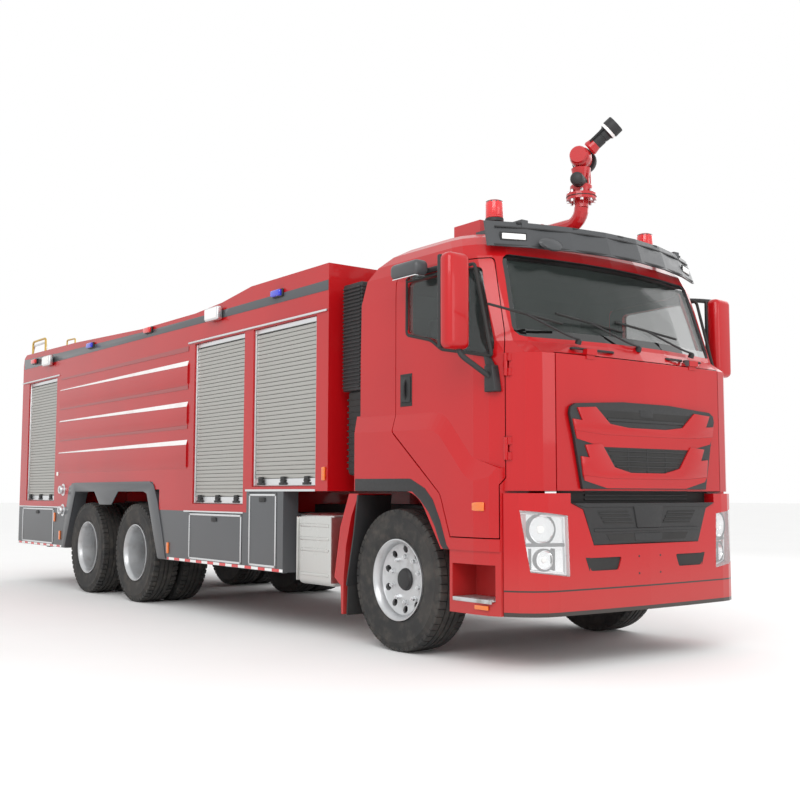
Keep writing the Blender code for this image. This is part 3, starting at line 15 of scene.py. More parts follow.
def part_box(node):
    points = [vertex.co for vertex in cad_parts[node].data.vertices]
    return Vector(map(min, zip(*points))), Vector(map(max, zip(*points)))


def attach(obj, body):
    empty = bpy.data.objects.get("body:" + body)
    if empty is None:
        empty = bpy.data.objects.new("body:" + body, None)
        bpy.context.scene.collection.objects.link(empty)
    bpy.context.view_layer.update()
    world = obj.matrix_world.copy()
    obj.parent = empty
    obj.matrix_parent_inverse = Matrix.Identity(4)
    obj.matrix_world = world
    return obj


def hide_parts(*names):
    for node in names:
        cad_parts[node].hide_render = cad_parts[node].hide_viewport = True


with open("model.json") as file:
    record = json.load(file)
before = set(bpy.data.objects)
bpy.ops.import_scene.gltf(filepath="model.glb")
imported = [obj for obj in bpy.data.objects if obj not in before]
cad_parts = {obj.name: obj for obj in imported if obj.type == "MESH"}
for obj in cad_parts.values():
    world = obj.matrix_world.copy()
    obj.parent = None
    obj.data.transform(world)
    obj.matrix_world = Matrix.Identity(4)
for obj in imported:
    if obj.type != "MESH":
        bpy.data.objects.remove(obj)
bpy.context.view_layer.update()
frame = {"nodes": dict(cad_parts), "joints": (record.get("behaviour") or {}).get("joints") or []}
nodes = frame["nodes"]
pivots = {joint["name"]: Vector(joint["pos_m"]) for joint in frame["joints"]}
FRONT_AXLE = Vector((0, pivots["steer_right"].y, 0))

# Camera: at chest height off the truck's right front corner, looking back along its side, with a normal lens.
camera = bpy.data.objects.new("camera", bpy.data.cameras.new("camera"))
bpy.context.scene.collection.objects.link(camera)
camera.data.lens = 48.39
camera.matrix_world = (
    Matrix.Translation(FRONT_AXLE + Vector((-6.013, -6.426, 1.16)))
    @ Matrix.Rotation(radians(-37.16), 4, "Z")
    @ Matrix.Rotation(radians(94.98), 4, "X")
    @ Matrix.Rotation(radians(0.11), 4, "Z")
)
bpy.context.scene.camera = camera


# Floor and daylight: a pale studio floor under a wide even sky, a broad key light over the camera's left
# shoulder, a low fill on the front and a strip along the far side for the edges.
class Wire:
    """A value inside a finish. Sums, products and tests on it add Math nodes."""

    def __init__(self, finish, socket):
        self.finish, self.socket = finish, socket

    def math(self, operation, first, second=0.0):
        return self.finish.node("Math", {"operation": operation}, {0: first, 1: second})

    def __add__(self, other):
        return self.math("ADD", self, other)

    def __sub__(self, other):
        return self.math("SUBTRACT", self, other)

    def __rsub__(self, other):
        return self.math("SUBTRACT", other, self)

    def __mul__(self, other):
        return self.math("MULTIPLY", self, other)

    def __truediv__(self, other):
        return self.math("DIVIDE", self, other)

    def __mod__(self, other):
        return self.math("FLOORED_MODULO", self, other)

    def __gt__(self, other):
        return self.math("GREATER_THAN", self, other)

    def __lt__(self, other):
        return self.math("LESS_THAN", self, other)

    def __abs__(self):
        return self.math("ABSOLUTE", self)

    __radd__, __rmul__ = __add__, __mul__

    def wave(self):
        return self.math("SINE", self)

    def most(self, other):
        return self.math("MAXIMUM", self, other)

    def least(self, other):
        return self.math("MINIMUM", self, other)

    def ramp(self, low, high):
        """0 below low, 1 above high, and eased between them."""
        spans = {"Value": self, "From Min": low, "From Max": high}
        return self.finish.node("MapRange", {"interpolation_type": "SMOOTHSTEP"}, spans)


class Finish:
    """One material. What is the same all over it goes straight onto the shader's sockets."""

    def __init__(self, name, colour, roughness, **shader):
        self.material = bpy.data.materials.new(name)
        self.material.use_nodes = True
        self.tree = self.material.node_tree
        self.shader = self.tree.nodes["Principled BSDF"]
        self.place = self.node("TexCoord", out="Object")
        self.set(Base_Color=colour, Roughness=roughness, **shader)

    def set(self, **shader):
        for name, value in shader.items():
            self.plug(self.shader.inputs[name.replace("_", " ")], value)

    def plug(self, socket, value):
        if isinstance(value, Wire):
            self.tree.links.new(value.socket, socket)
        elif socket.type == "RGBA":
            socket.default_value = (*value, 1.0)
        else:
            socket.default_value = value

    def node(self, kind, settings=None, sockets=None, out=0):
        made = self.tree.nodes.new("ShaderNode" + kind)
        for name, value in (settings or {}).items():
            setattr(made, name, value)
        for name, value in (sockets or {}).items():
            self.plug(made.inputs[name], value)
        return Wire(self, made.outputs[out])

    def axes(self):
        """The x, y and z of each point, as three wires."""
        split = self.node("SeparateXYZ", {}, {0: self.place})
        return [Wire(self, socket) for socket in split.socket.node.outputs]

    def cloud(self, scale, detail=3.0, stretch=(1, 1, 1), blur=0.55):
        """Soft noise from 0 to 1, of so many patches to the metre."""
        at = self.place
        if stretch != (1, 1, 1):
            at = self.node("Mapping", {}, {"Vector": self.place, "Scale": stretch})
        sockets = {"Vector": at, "Scale": scale, "Detail": detail, "Roughness": blur}
        return self.node("TexNoise", {}, sockets)

    def mix(self, mask, first, second):
        return self.node("Mix", {"data_type": "RGBA"}, {0: mask, 6: first, 7: second}, 2)

    def relief(self, height, depth, strength=1.0, under=None):
        """Carves a height of 0 to 1 into the surface, so many metres deep."""
        sockets = {"Height": height, "Distance": depth, "Strength": strength}
        if under is not None:
            sockets["Normal"] = under
        normal = self.node("Bump", {}, sockets)
        self.set(Normal=normal)
        return normal


concrete = Finish("pale_floor", (0.93, 0.93, 0.92), 0.9)
concrete.set(Base_Color=concrete.mix(concrete.cloud(0.7), (0.90, 0.90, 0.895), (0.94, 0.94, 0.935)))
slab = bmesh.new()
bmesh.ops.create_grid(slab, x_segments=1, y_segments=1, size=120)
floor_mesh = bpy.data.meshes.new("floor")
slab.to_mesh(floor_mesh)
floor_mesh.materials.append(concrete.material)
floor = bpy.data.objects.new("floor", floor_mesh)
bpy.context.scene.collection.objects.link(floor)

sky = bpy.data.worlds.new("sky")
sky.use_nodes = True
sky.node_tree.nodes["Background"].inputs["Color"].default_value = (1.0, 1.0, 1.0, 1.0)
sky.node_tree.nodes["Background"].inputs["Strength"].default_value = 1.0
bpy.context.scene.world = sky
bpy.context.scene.view_settings.view_transform = "Standard"


def soft_light(name, power, size, place, target):
    data = bpy.data.lights.new(name, "AREA")
    data.shape, data.energy, (data.size, data.size_y) = "RECTANGLE", power, size
    light = bpy.data.objects.new(name, data)
    bpy.context.scene.collection.objects.link(light)
    light.location = Vector(place) + FRONT_AXLE
    light.rotation_euler = (Vector(target) - Vector(place)).to_track_quat("-Z", "Y").to_euler()


soft_light("key", 700, (9, 6), (-9, -8, 9), (0, 1.5, 1.5))
soft_light("front_fill", 120, (6, 4), (2, -12, 4), (0, 0, 1.2))
soft_light("far_strip", 200, (12, 4), (9, 3, 7), (0, 3, 1.5))


# Cab shell, doors and radiator lid: pressed steel, sprayed fire red under clear lacquer. Road dust settles on
# the sills, and the lacquer has the faint ripple of a sprayed coat.
def dress(finish, *names):
    """Gives CAD nodes a finish in place of the plain one they came with."""
    for name in names:
        materials = nodes[name].data.materials
        materials.clear()
        materials.append(finish.material)


def sprayed(name, colour, dust, roughness=0.3, coat=0.4):
    paint = Finish(name, colour, roughness, Coat_Roughness=0.05, Specular_IOR_Level=0.3)
    _, _, height = paint.axes()
    low_down = 1 - (height + paint.cloud(2.2) * 0.5).ramp(0.35, 1.35)
    film = (low_down * 0.14 + paint.cloud(9, 4).ramp(0.55, 0.8) * 0.01).least(0.4)
    shade = paint.mix(paint.cloud(0.8, 2).ramp(0.3, 0.7), colour, tuple(c * 0.9 for c in colour))
    paint.set(
        Base_Color=paint.mix(film, shade, dust), Roughness=film * 0.9 + roughness,
        Coat_Weight=coat - film * 1.2,
    )
    paint.relief(paint.cloud(160, 1) * 0.4 + paint.cloud(2.5, 1), 0.0012, 0.10)
    return paint


DUST = (0.30, 0.24, 0.20)
fire_red = sprayed("fire_red", (0.47, 0.004, 0.007), DUST)
dress(fire_red, "cab_shell", "door_right", "door_left", "front_panel", "bumper", "locker_body", "mirror_left")

black_trim = Finish("black_trim", (0.018, 0.018, 0.019), 0.5)
black_trim.set(Roughness=black_trim.cloud(40, 2) * 0.2 + 0.42)
black_trim.relief(black_trim.cloud(900, 2), 0.0004, 0.35)
rubber = Finish("seal_rubber", (0.012, 0.012, 0.012), 0.7)
rubber.set(Base_Color=rubber.mix(rubber.cloud(6), (0.010, 0.010, 0.010), (0.028, 0.027, 0.026)))
bright_metal = Finish("bright_metal", (0.72, 0.73, 0.74), 0.3, Metallic=1.0)
bright_metal.set(Roughness=bright_metal.cloud(30, 3) * 0.22 + 0.2)


# Cab lining: moulded grey trim over the inside of the shell and the doors, which is what shows through the
# glass. It follows the inner faces of the steel.
lining = Finish("cab_lining", (0.085, 0.085, 0.09), 0.8)
lining.set(Base_Color=lining.mix(lining.cloud(3), (0.07, 0.07, 0.075), (0.11, 0.11, 0.115)))
lining.relief(lining.cloud(500, 2), 0.0006, 0.5)
CAB_MIDDLE = Vector((0, -0.45, 2.05)) + FRONT_AXLE
for source, body, label in (
    ("cab_shell", "truck", "cab_lining"),
    ("door_right", "door_right", "door_card_right"),
    ("door_left", "door_left", "door_card_left"),
):
    trim = bmesh.new()
    trim.from_mesh(nodes[source].data)
    bmesh.ops.remove_doubles(trim, verts=trim.verts, dist=1e-5)
    outer = [
        face
        for face in trim.faces
        if face.normal.dot((CAB_MIDDLE - face.calc_center_median()).normalized()) < 0.25
        or face.calc_center_median().z < 1.27
        or abs(face.calc_center_median().x) > 1.17
    ]
    bmesh.ops.delete(trim, geom=outer, context="FACES")
    for vertex in trim.verts:
        vertex.co += (CAB_MIDDLE - vertex.co).normalized() * 0.003
    sheet = bpy.data.meshes.new(label)
    trim.to_mesh(sheet)
    trim.free()
    sheet.materials.append(lining.material)
    card = bpy.data.objects.new(label, sheet)
    bpy.context.scene.collection.objects.link(card)
    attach(card, body)


# Windscreen and door windows: laminated green-tinted glass. The screen has a printed black border, which
# hides the glue bead that holds it.
class Shape:
    """One piece in the making. Each part that is added keeps its own finish."""

    def __init__(self):
        self.mesh, self.finishes = bmesh.new(), []

    def add(self, finish, *parts):
        if finish not in self.finishes:
            self.finishes.append(finish)
        for part in parts:
            for face in part.faces:
                face.material_index = self.finishes.index(finish)
            stock = bpy.data.meshes.new("stock")
            part.to_mesh(stock)
            self.mesh.from_mesh(stock)
            bpy.data.meshes.remove(stock)
            part.free()
        return self

    def place(self, name, body, slot, stands_for=(), side=1, crease=35):
        """Moves the piece onto the truck. Side -1 turns a left-hand piece into its right-hand twin."""
        if side < 0:
            bmesh.ops.scale(self.mesh, vec=(-1, 1, 1), verts=self.mesh.verts)
            bmesh.ops.reverse_faces(self.mesh, faces=self.mesh.faces)
        bmesh.ops.translate(self.mesh, vec=FRONT_AXLE, verts=self.mesh.verts)
        mesh = bpy.data.meshes.new(name)
        self.mesh.to_mesh(mesh)
        self.mesh.free()
        for finish in self.finishes:
            mesh.materials.append(finish.material)
        mesh.shade_smooth()
        mesh.set_sharp_from_angle(angle=radians(crease))
        piece = bpy.data.objects.new(name, mesh)
        bpy.context.scene.collection.objects.link(piece)
        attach(piece, body)
        if stands_for:
            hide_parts(*stands_for)
        return piece


def eased(points, reach, steps=4):
    """The same path with each corner replaced by a curve that starts and ends a reach away from it."""
    points = [Vector(point) for point in points]
    path = points[:1]
    for before, corner, after in zip(points, points[1:], points[2:]):
        start = corner + (before - corner).normalized() * min(reach, (before - corner).length / 2)
        end = corner + (after - corner).normalized() * min(reach, (after - corner).length / 2)
        for step in range(steps + 1):
            t = step / steps
            path.append(start * (1 - t) ** 2 + corner * 2 * t * (1 - t) + end * t * t)
    return path + points[-1:]


def tube(points, radius, bend=0.0, roundness=3):
    """A round bar or pipe along a path, with its bends eased and its ends closed."""
    path = eased(points, bend) if bend else [Vector(point) for point in points]
    curve = bpy.data.curves.new("path", "CURVE")
    curve.dimensions, curve.use_fill_caps = "3D", True
    curve.bevel_depth, curve.bevel_resolution = radius, roundness
    spline = curve.splines.new("POLY")
    spline.points.add(len(path) - 1)
    for point, spot in zip(spline.points, path):
        point.co = (*spot, 1)
    holder = bpy.data.objects.new("path", curve)
    part = bmesh.new()
    part.from_mesh(holder.to_mesh())
    bpy.data.objects.remove(holder)
    bpy.data.curves.remove(curve)
    bmesh.ops.remove_doubles(part, verts=part.verts, dist=1e-5)
    bmesh.ops.recalc_face_normals(part, faces=part.faces)
    return part


def tinted(name):
    return Finish(name, (0.02, 0.03, 0.03), 0.03, Coat_Weight=1.0, Coat_Roughness=0.02, IOR=1.5)


screen_glass = tinted("screen_glass")
across, _, height = screen_glass.axes()
lean = (height - 2.22) * 0.1
border = (abs(across) + lean).ramp(1.015, 1.02).most(
    1 - height.ramp(2.275, 2.28)
).most(height.ramp(2.785, 2.79))
screen_glass.set(
    Alpha=border * 0.75 + 0.25,
    Base_Color=screen_glass.mix(border, (0.05, 0.065, 0.06), (0.006, 0.006, 0.006)),
)
dress(screen_glass, "windscreen")
door_glass = tinted("door_window_glass")
_, _, height = door_glass.axes()
door_glass.set(Alpha=0.32 + height.ramp(2.1, 2.8) * 0.05, Base_Color=(0.04, 0.05, 0.048))
dress(door_glass, "door_glass_right", "door_glass_left")

SIDES = ((-1, "right"), (1, "left"))
for side, label in SIDES:
    channel = [(-0.17, 2.73), (-0.93, 2.74), (-1.105, 2.08), (-0.575, 2.18), (-0.455, 2.26), (-0.17, 2.33)]
    run = eased([(1.2085, *point) for point in channel + channel[:1]], 0.03)
    seal = Shape().add(rubber, tube([(x - max(0, z - 2.7) * 0.1, y, z) for x, y, z in run], 0.012))
    seal.place(f"window_seal_{label}", f"door_{label}", "black_plastic", side=side)


# Radiator lid trim: a black moulding with a rounded rim, two wide openings with bars across them, and two
# raised chevrons painted in body colour, whose lower halves lean back.
def soften(part, width, segments=2):
    if width:
        edges = [edge for edge in part.edges if edge.calc_face_angle(0) > radians(20)]
        ways = {"profile": 0.5, "affect": "EDGES", "material": -1, "clamp_overlap": True}
        bmesh.ops.bevel(part, geom=edges, offset=width, segments=segments, **ways)
    return part


def shift(part, *vector):
    bmesh.ops.translate(part, vec=vector, verts=part.verts)
    return part


def block(x, y, z, edge=0.0, segments=2):
    """A box from low to high on each axis, with its edges eased."""
    part = bmesh.new()
    bmesh.ops.create_cube(part, size=1)
    low, high = (Vector(corner) for corner in zip(x, y, z))
    bmesh.ops.scale(part, vec=high - low, verts=part.verts)
    return soften(shift(part, *(low + high) / 2), edge, segments)


def plate(axis, outline, start, end, edge=0.0, segments=2):
    """A flat outline in the other two axes, carried along an axis from start to end."""
    part = bmesh.new()
    spots = {
        "x": lambda a, b: (start, a, b), "y": lambda a, b: (a, start, b), "z": lambda a, b: (a, b, start)
    }
    face = part.faces.new([part.verts.new(spots[axis](*point)) for point in outline])
    grown = bmesh.ops.extrude_face_region(part, geom=[face])["geom"]
    way = Vector([(end - start) * (letter == axis) for letter in "xyz"])
    bmesh.ops.translate(part, vec=way, verts=[v for v in grown if isinstance(v, bmesh.types.BMVert)])
    bmesh.ops.recalc_face_normals(part, faces=part.faces)
    return soften(part, edge, segments)


grille = Shape()
rim = [
    (0.66, 1.195), (0.735, 1.55), (0.775, 1.70), (0.765, 1.745), (0.72, 1.770), (0.25, 1.80), (-0.25, 1.80)
]
rim += [(-0.72, 1.770), (-0.765, 1.745), (-0.775, 1.70), (-0.735, 1.55), (-0.66, 1.195)]
grille.add(black_trim, plate("y", rim, -1.3985, -1.375, 0.003))
for left, top, low, narrow in ((0.50, 1.735, 1.66, 0.40), (0.43, 1.475, 1.325, 0.31)):
    mouth = [(-left, top), (left, top), (narrow, low), (-narrow, low)]
    grille.add(rubber, plate("y", mouth, -1.3995, -1.38, 0.001))
for count in range(4):
    z = 1.345 + count * 0.036
    grille.add(
        black_trim,
        block((-0.33 - count * 0.026, 0.33 + count * 0.026), (-1.405, -1.39), (z, z + 0.010), 0.003),
    )
for x in (-0.2, 0.0, 0.2):
    grille.add(black_trim, block((x - 0.005, x + 0.005), (-1.402, -1.39), (1.31, 1.475), 0.002))
grille.add(
    black_trim, block((-0.41, 0.41), (-1.405, -1.39), (1.662, 1.682), 0.004),
    block((-0.07, 0.07), (-1.402, -1.39), (1.70, 1.75), 0.003),
)


def chevron(arm_top, notch, floor, crease, foot):
    """A raised U: two arms and a bar between them, with the bar's face leaning back below its crease."""
    outer, inner = [(-0.71, arm_top), (-0.53, arm_top + 0.012)], [(-0.39, notch), (-0.20, floor)]
    top = outer + inner + [(-x, z) for x, z in reversed(outer + inner)]
    side = [(0.665, arm_top - 0.085), (0.755, arm_top - 0.078), (0.735, crease + 0.02), (0.45, crease)]
    parts = [plate("y", top + side + [(-x, z) for x, z in reversed(side)], -1.4095, -1.385, 0.004)]
    bar = [(0.735, crease + 0.02), (0.45, crease), (-0.45, crease), (-0.735, crease + 0.02)]
    low = plate(
        "y", bar + [(-0.715, foot + 0.05), (-0.47, foot), (0.47, foot), (0.715, foot + 0.05)], -1.4095, -1.385
    )
    for vertex in low.verts:
        if vertex.co.z < crease - 0.01 and vertex.co.y < -1.40:
            vertex.co.y += 0.008
    return parts + [low]


grille.add(fire_red, *chevron(1.742, 1.643, 1.622, 1.565, 1.482))
lower_arms = chevron(1.492, 1.345, 1.308, 1.265, 1.20)
for part in lower_arms:
    for vertex in part.verts:
        vertex.co.x *= 0.90
grille.add(fire_red, *lower_arms)
grille.place("upper_grille", "front_panel", "black_plastic")

# Wipers: three pressed arms on spindles below the screen, each with a rubber blade that lies on the glass.
def turned(profile, centre, axis=(0, 0, 1), steps=32, loop=False):
    """A profile of (radius, distance along the axis) points, spun right round the axis."""
    part = bmesh.new()
    line = [part.verts.new((radius, 0, along)) for radius, along in profile]
    edges = [part.edges.new(pair) for pair in zip(line, line[1:] + line[:1] * loop)]
    bmesh.ops.spin(part, geom=line + edges, axis=(0, 0, 1), angle=2 * pi, steps=steps, use_merge=True)
    bmesh.ops.remove_doubles(part, verts=part.verts, dist=1e-5)
    bmesh.ops.recalc_face_normals(part, faces=part.faces)
    aim = Vector((0, 0, 1)).rotation_difference(Vector(axis)).to_matrix()
    bmesh.ops.rotate(part, matrix=aim, verts=part.verts)
    return shift(part, *centre)


wipers = Shape()
for x in (-0.62, 0.0, 0.60):
    reach = Vector((x - 0.42, -1.262, 2.36))
    wipers.add(
        black_trim,
        turned(
            [(0, 0), (0.022, 0), (0.022, 0.03), (0.012, 0.04), (0, 0.04)], (x, -1.33, 2.185), (0, -0.4, 1), 16
        ),
    )
    wipers.add(black_trim, tube([(x, -1.35, 2.215), (x - 0.1, -1.345, 2.23), reach], 0.008, 0.05, 2))
    wipers.add(
        rubber,
        tube([reach + Vector((0.33, -0.006, -0.035)), reach + Vector((-0.33, 0.012, 0.035))], 0.009, 0, 2),
    )
wipers.place("wipers", "truck", "black_plastic")

# Door furniture: a black pull handle in a dished plate, the marker lamp ahead of the wheel and the black
# rubber lip round the front wheel arch.
amber = Finish("amber_lens", (0.75, 0.16, 0.01), 0.16, Coat_Weight=0.8)
amber.relief((amber.axes()[2] * 900).wave() * 0.5 + 0.5, 0.001, 0.5)
for side, label in SIDES:
    pull = Shape()
    pull.add(
        rubber,
        plate("x", [(-0.235, 1.80), (-0.095, 1.80), (-0.095, 2.04), (-0.235, 2.04)], 1.2095, 1.2125, 0.001),
    )
    pull.add(
        black_trim,
        plate("x", [(-0.22, 1.83), (-0.11, 1.83), (-0.11, 2.02), (-0.22, 2.02)], 1.21, 1.222, 0.01, 3),
    )
    pull.add(
        black_trim,
        tube(
            [(1.21, -0.165, 1.85), (1.236, -0.165, 1.88), (1.236, -0.165, 1.97), (1.21, -0.165, 2.0)],
            0.013,
            0.02,
        ),
    )
    pull.add(amber, block((1.232, 1.2455), (-1.05, -0.93), (1.045, 1.105), 0.008, 3))
    pull.place(f"door_handle_{label}", f"door_{label}", "black_plastic", side=side)
    lip = [
        (0.44, 1.275), (-0.26, 1.27), (-0.43, 1.20), (-0.52, 1.12), (-0.60, 0.98), (-0.67, 0.81),
        (-0.70, 0.78),
    ]
    lip += [
        (-0.63, 0.78), (-0.60, 0.81), (-0.54, 0.93), (-0.47, 1.03), (-0.38, 1.11), (-0.28, 1.175),
        (0.44, 1.18),
    ]
    arch = Shape().add(black_trim, plate("x", lip, 1.19, 1.2485, 0.006))
    arch.place(f"wheel_arch_lip_{label}", "truck", "black_plastic", side=side)

# Bumper: one deep moulding in body colour, with a painted shadow line above its lip in place of the seam's
# shade, and a black lower edge. Four plain studs for a number plate stand in the middle.
bumper_red = sprayed("bumper_red", (0.47, 0.004, 0.007), DUST)
_, _, height = bumper_red.axes()
# The thin dark band just above the lip is painted shade standing in for the shadow of the seam; below 0.385 m
# the bumper is plainly black.
painted_seam_shadow = height.ramp(0.518, 0.521) * (1 - height.ramp(0.529, 0.532))
under = (1 - height.ramp(0.385, 0.39)).most(painted_seam_shadow)
shade = bumper_red.mix(under, (0.47, 0.004, 0.007), (0.012, 0.010, 0.010))
bumper_red.set(Base_Color=bumper_red.mix((1 - height.ramp(0.3, 0.9)) * 0.12, shade, DUST))
dress(bumper_red, "bumper")
studs = Shape()
for x in (-0.113, 0.113):
    for z in (0.612, 0.730):
        studs.add(
            black_trim,
            turned(
                [(0, 0), (0.010, 0), (0.010, 0.004), (0.006, 0.007), (0, 0.007)], (x, -1.402, z), (0, -1, 0),
                16,
            ),
        )
for x in (-0.455, 0.455):
    studs.add(
        rubber,
        plate(
            "y", [(x - 0.145, 0.645), (x + 0.145, 0.645), (x + 0.18, 0.735), (x - 0.18, 0.735)], -1.393,
            -1.362,
        ),
    )
studs.add(rubber, block((-0.80, 0.80), (-1.30, -1.285), (1.08, 1.215), 0.004))
for count in range(3):
    studs.add(
        black_trim,
        block((-0.55, 0.55), (-1.312, -1.298), (1.118 + count * 0.028, 1.130 + count * 0.028), 0.003),
    )
studs.place("plate_studs", "truck", "black_plastic")

# Lower grille: a black moulding set in the bumper, with two barred windows beside a plain blank, a long slot
# below them, and the dark radiator showing in the gap above its lip.
def both(part):
    """A part and its mirror image across the truck's centre line."""
    made = bmesh.ops.duplicate(part, geom=part.verts[:] + part.edges[:] + part.faces[:])["geom"]
    bmesh.ops.scale(part, vec=(-1, 1, 1), verts=[v for v in made if isinstance(v, bmesh.types.BMVert)])
    bmesh.ops.reverse_faces(part, faces=[f for f in made if isinstance(f, bmesh.types.BMFace)])
    return part


lower = Shape()
shell = [(-0.557, 0.817), (0.557, 0.817), (0.654, 1.056), (0.763, 1.10), (-0.763, 1.10), (-0.654, 1.056)]
lower.add(black_trim, plate("y", shell, -1.398, -1.30, 0.005))
lower.add(
    black_trim,
    plate("y", [(-0.652, 1.070), (0.652, 1.070), (0.76, 1.099), (-0.76, 1.099)], -1.405, -1.36, 0.006, 3),
)
lower.add(
    black_trim,
    plate("y", [(-0.122, 0.925), (0.122, 0.925), (0.158, 1.082), (-0.158, 1.082)], -1.408, -1.36, 0.008, 3),
)
window = [(0.154, 0.955), (0.455, 0.955), (0.526, 1.045), (0.218, 1.045)]
lower.add(rubber, both(plate("y", window, -1.3995, -1.38)))
lower.add(rubber, plate("y", [(-0.40, 0.84), (0.40, 0.84), (0.436, 0.886), (-0.436, 0.886)], -1.3995, -1.38))
lower.add(
    black_trim, plate("y", [(-0.14, 0.838), (0.14, 0.838), (0.15, 0.888), (-0.15, 0.888)], -1.401, -1.38)
)
for count in range(3):
    z = 0.968 + count * 0.028
    lower.add(
        black_trim,
        both(block((0.165 + count * 0.02, 0.462 + count * 0.022), (-1.404, -1.385), (z, z + 0.010), 0.003)),
    )
lower.add(black_trim, block((-0.557, 0.557), (-1.405, -1.38), (0.905, 0.925), 0.006, 3))
lower.place("lower_grille_bars", "truck", "black_plastic", ("lower_grille",))

# Headlights: a clear moulded lens over a bright bowl, with the round main lamp above the fog lamp and black
# filler between them.
lens = Finish("headlight_lens", (0.9, 0.92, 0.93), 0.05, Alpha=0.28, Coat_Weight=1.0, IOR=1.5)
lens.relief((lens.axes()[0] * 500).wave() * 0.5 + 0.5, 0.0015, 0.4)
dress(lens, "headlight_right", "headlight_left")
reflector = Finish("lamp_reflector", (0.88, 0.89, 0.9), 0.08, Metallic=1.0)
reflector.set(Roughness=reflector.cloud(60) * 0.12 + 0.05)
bulb = Finish("lamp_bulb", (0.95, 0.93, 0.88), 0.1, Coat_Weight=1.0)
bulb.set(Base_Color=bulb.mix(bulb.cloud(50), (0.95, 0.93, 0.86), (0.80, 0.82, 0.84)))


def swept(part):
    """Leans the outer end of a part back round the corner of the cab."""
    for vertex in part.verts:
        vertex.co.y += max(0.0, vertex.co.x - 0.84) * 0.5
    return part


for side, label in SIDES:
    lamp = Shape()
    backing = [(0.780, 0.620), (1.058, 0.653), (1.106, 1.048), (0.796, 1.013)]
    lamp.add(reflector, swept(plate("y", backing, -1.345, -1.338)))
    for x, z, radius in ((0.945, 0.925, 0.088), (0.925, 0.725, 0.062)):
        lean = Vector((0.25, -1, 0)).normalized()
        spot = Vector((x, -1.335 + max(0, x - 0.84) * 0.5, z))
        bowl = [
            (0, -0.03), (radius * 0.5, -0.026), (radius * 0.85, -0.01), (radius, 0.012),
            (radius * 1.06, 0.010), (radius * 1.06, -0.012),
        ]
        lamp.add(reflector, turned(bowl, spot, lean, 40))
        lamp.add(
            black_trim,
            turned(
                [
                    (radius * 1.06, 0.012), (radius * 1.2, 0.016), (radius * 1.2, -0.012),
                    (radius * 1.06, -0.012),
                ],
                spot,
                lean,
                40,
                True,
            ),
        )
        lamp.add(
            bulb,
            turned(
                [
                    (0, 0.012), (radius * 0.30, 0.006), (radius * 0.36, -0.006), (radius * 0.36, -0.02),
                    (0, -0.02),
                ],
                spot,
                lean,
                24,
            ),
        )
    lamp.add(black_trim, swept(block((0.80, 1.06), (-1.362, -1.345), (0.812, 0.835), 0.005)))
    rim = [(0.786, 0.628), (1.052, 0.660), (1.096, 1.038), (0.802, 1.005), (0.786, 0.628)]
    edge = tube([(x, -1.352 + max(0.0, x - 0.84) * 0.5, z) for x, z in rim], 0.010)
    lamp.add(bright_metal, edge)
    for x in (0.872, 1.018):
        spot = Vector((x, -1.350 + max(0.0, x - 0.84) * 0.5, 0.725))
        lamp.add(
            rubber, block((spot.x - 0.008, spot.x + 0.008), (spot.y, spot.y + 0.01), (0.655, 0.80), 0.003)
        )
    lamp.place(f"headlight_bowl_{label}", "truck", "lamp_glass", side=side)

# Grab handles below the screen, for wiping the glass from the bumper step.
grab = Shape()
for x in (0.38, 0.60):
    grab.add(
        black_trim,
        both(
            tube(
                [
                    (x - 0.09, -1.335, 2.15), (x - 0.09, -1.36, 2.15), (x + 0.09, -1.352, 2.15),
                    (x + 0.09, -1.327, 2.15),
                ],
                0.009,
                0.02,
            ),
        ),
    )
grab.place("screen_grab_handles", "truck", "black_plastic")

# Sun visor: a dark moulding across the top of the screen, with a white lamp at each end, an oval boss and two
# red beacons behind it on the roof.
visor_grey = Finish("visor_grey", (0.055, 0.058, 0.062), 0.42, Coat_Weight=0.15)
visor_grey.set(Roughness=visor_grey.cloud(12) * 0.2 + 0.32)
visor_grey.relief(visor_grey.cloud(700, 2), 0.0004, 0.3)
dress(visor_grey, "sun_visor")
white_lens = Finish("white_lens", (0.9, 0.9, 0.88), 0.12, Coat_Weight=0.7)
white_lens.relief((white_lens.axes()[0] * 700).wave() * 0.5 + 0.5, 0.0012, 0.5)
red_lens = Finish("red_lens", (0.72, 0.008, 0.012), 0.1, Coat_Weight=1.0, Coat_Roughness=0.02)
red_lens.relief((red_lens.axes()[2] * 420).wave() * 0.5 + 0.5, 0.002, 0.5)


def visor_strip(start, end, low, high, proud, depth=0.012):
    """A strip that follows the visor's curved front between two distances from the middle."""
    steps = [start + (end - start) * step / 6 for step in range(7)]
    face = [(x, -1.25 + 0.316 * ((low + high) / 2 - 2.87) + 0.27 * (x / 1.12) ** 2 - proud) for x in steps]
    return plate("z", face + [(x, y + depth) for x, y in reversed(face)], low, high, 0.002)


visor = Shape()
visor.add(white_lens, both(visor_strip(0.86, 1.02, 2.925, 2.965, 0.010)))
visor.add(black_trim, both(visor_strip(0.85, 1.03, 2.915, 2.975, 0.006)))
visor.add(
    black_trim, visor_strip(-1.05, 1.05, 3.012, 3.022, 0.006), visor_strip(-1.08, 1.08, 2.874, 2.886, 0.004)
)
for x in (-0.86, -0.43, 0.0, 0.43, 0.86):
    visor.add(
        black_trim,
        block(
            (x - 0.03, x + 0.03), (-1.19 + 0.27 * (x / 1.12) ** 2, -1.15 + 0.27 * (x / 1.12) ** 2),
            (3.045, 3.06), 0.004,
        ),
    )
boss = turned([(0, 0.03), (0.06, 0.028), (0.1, 0.018), (0.115, 0.0), (0, 0)], (0, 0, 0), (0, -1, 0.1), 32)
bmesh.ops.scale(boss, vec=(1, 1, 0.42), verts=boss.verts)
visor.add(visor_grey, shift(boss, -0.68, -1.142, 2.905))
visor.place("visor_lamps", "truck", "black_plastic")
beacons = Shape()
cap = [(0, 0.218), (0.048, 0.216), (0.060, 0.206), (0.064, 0.19), (0.064, 0.088), (0.060, 0.082)]
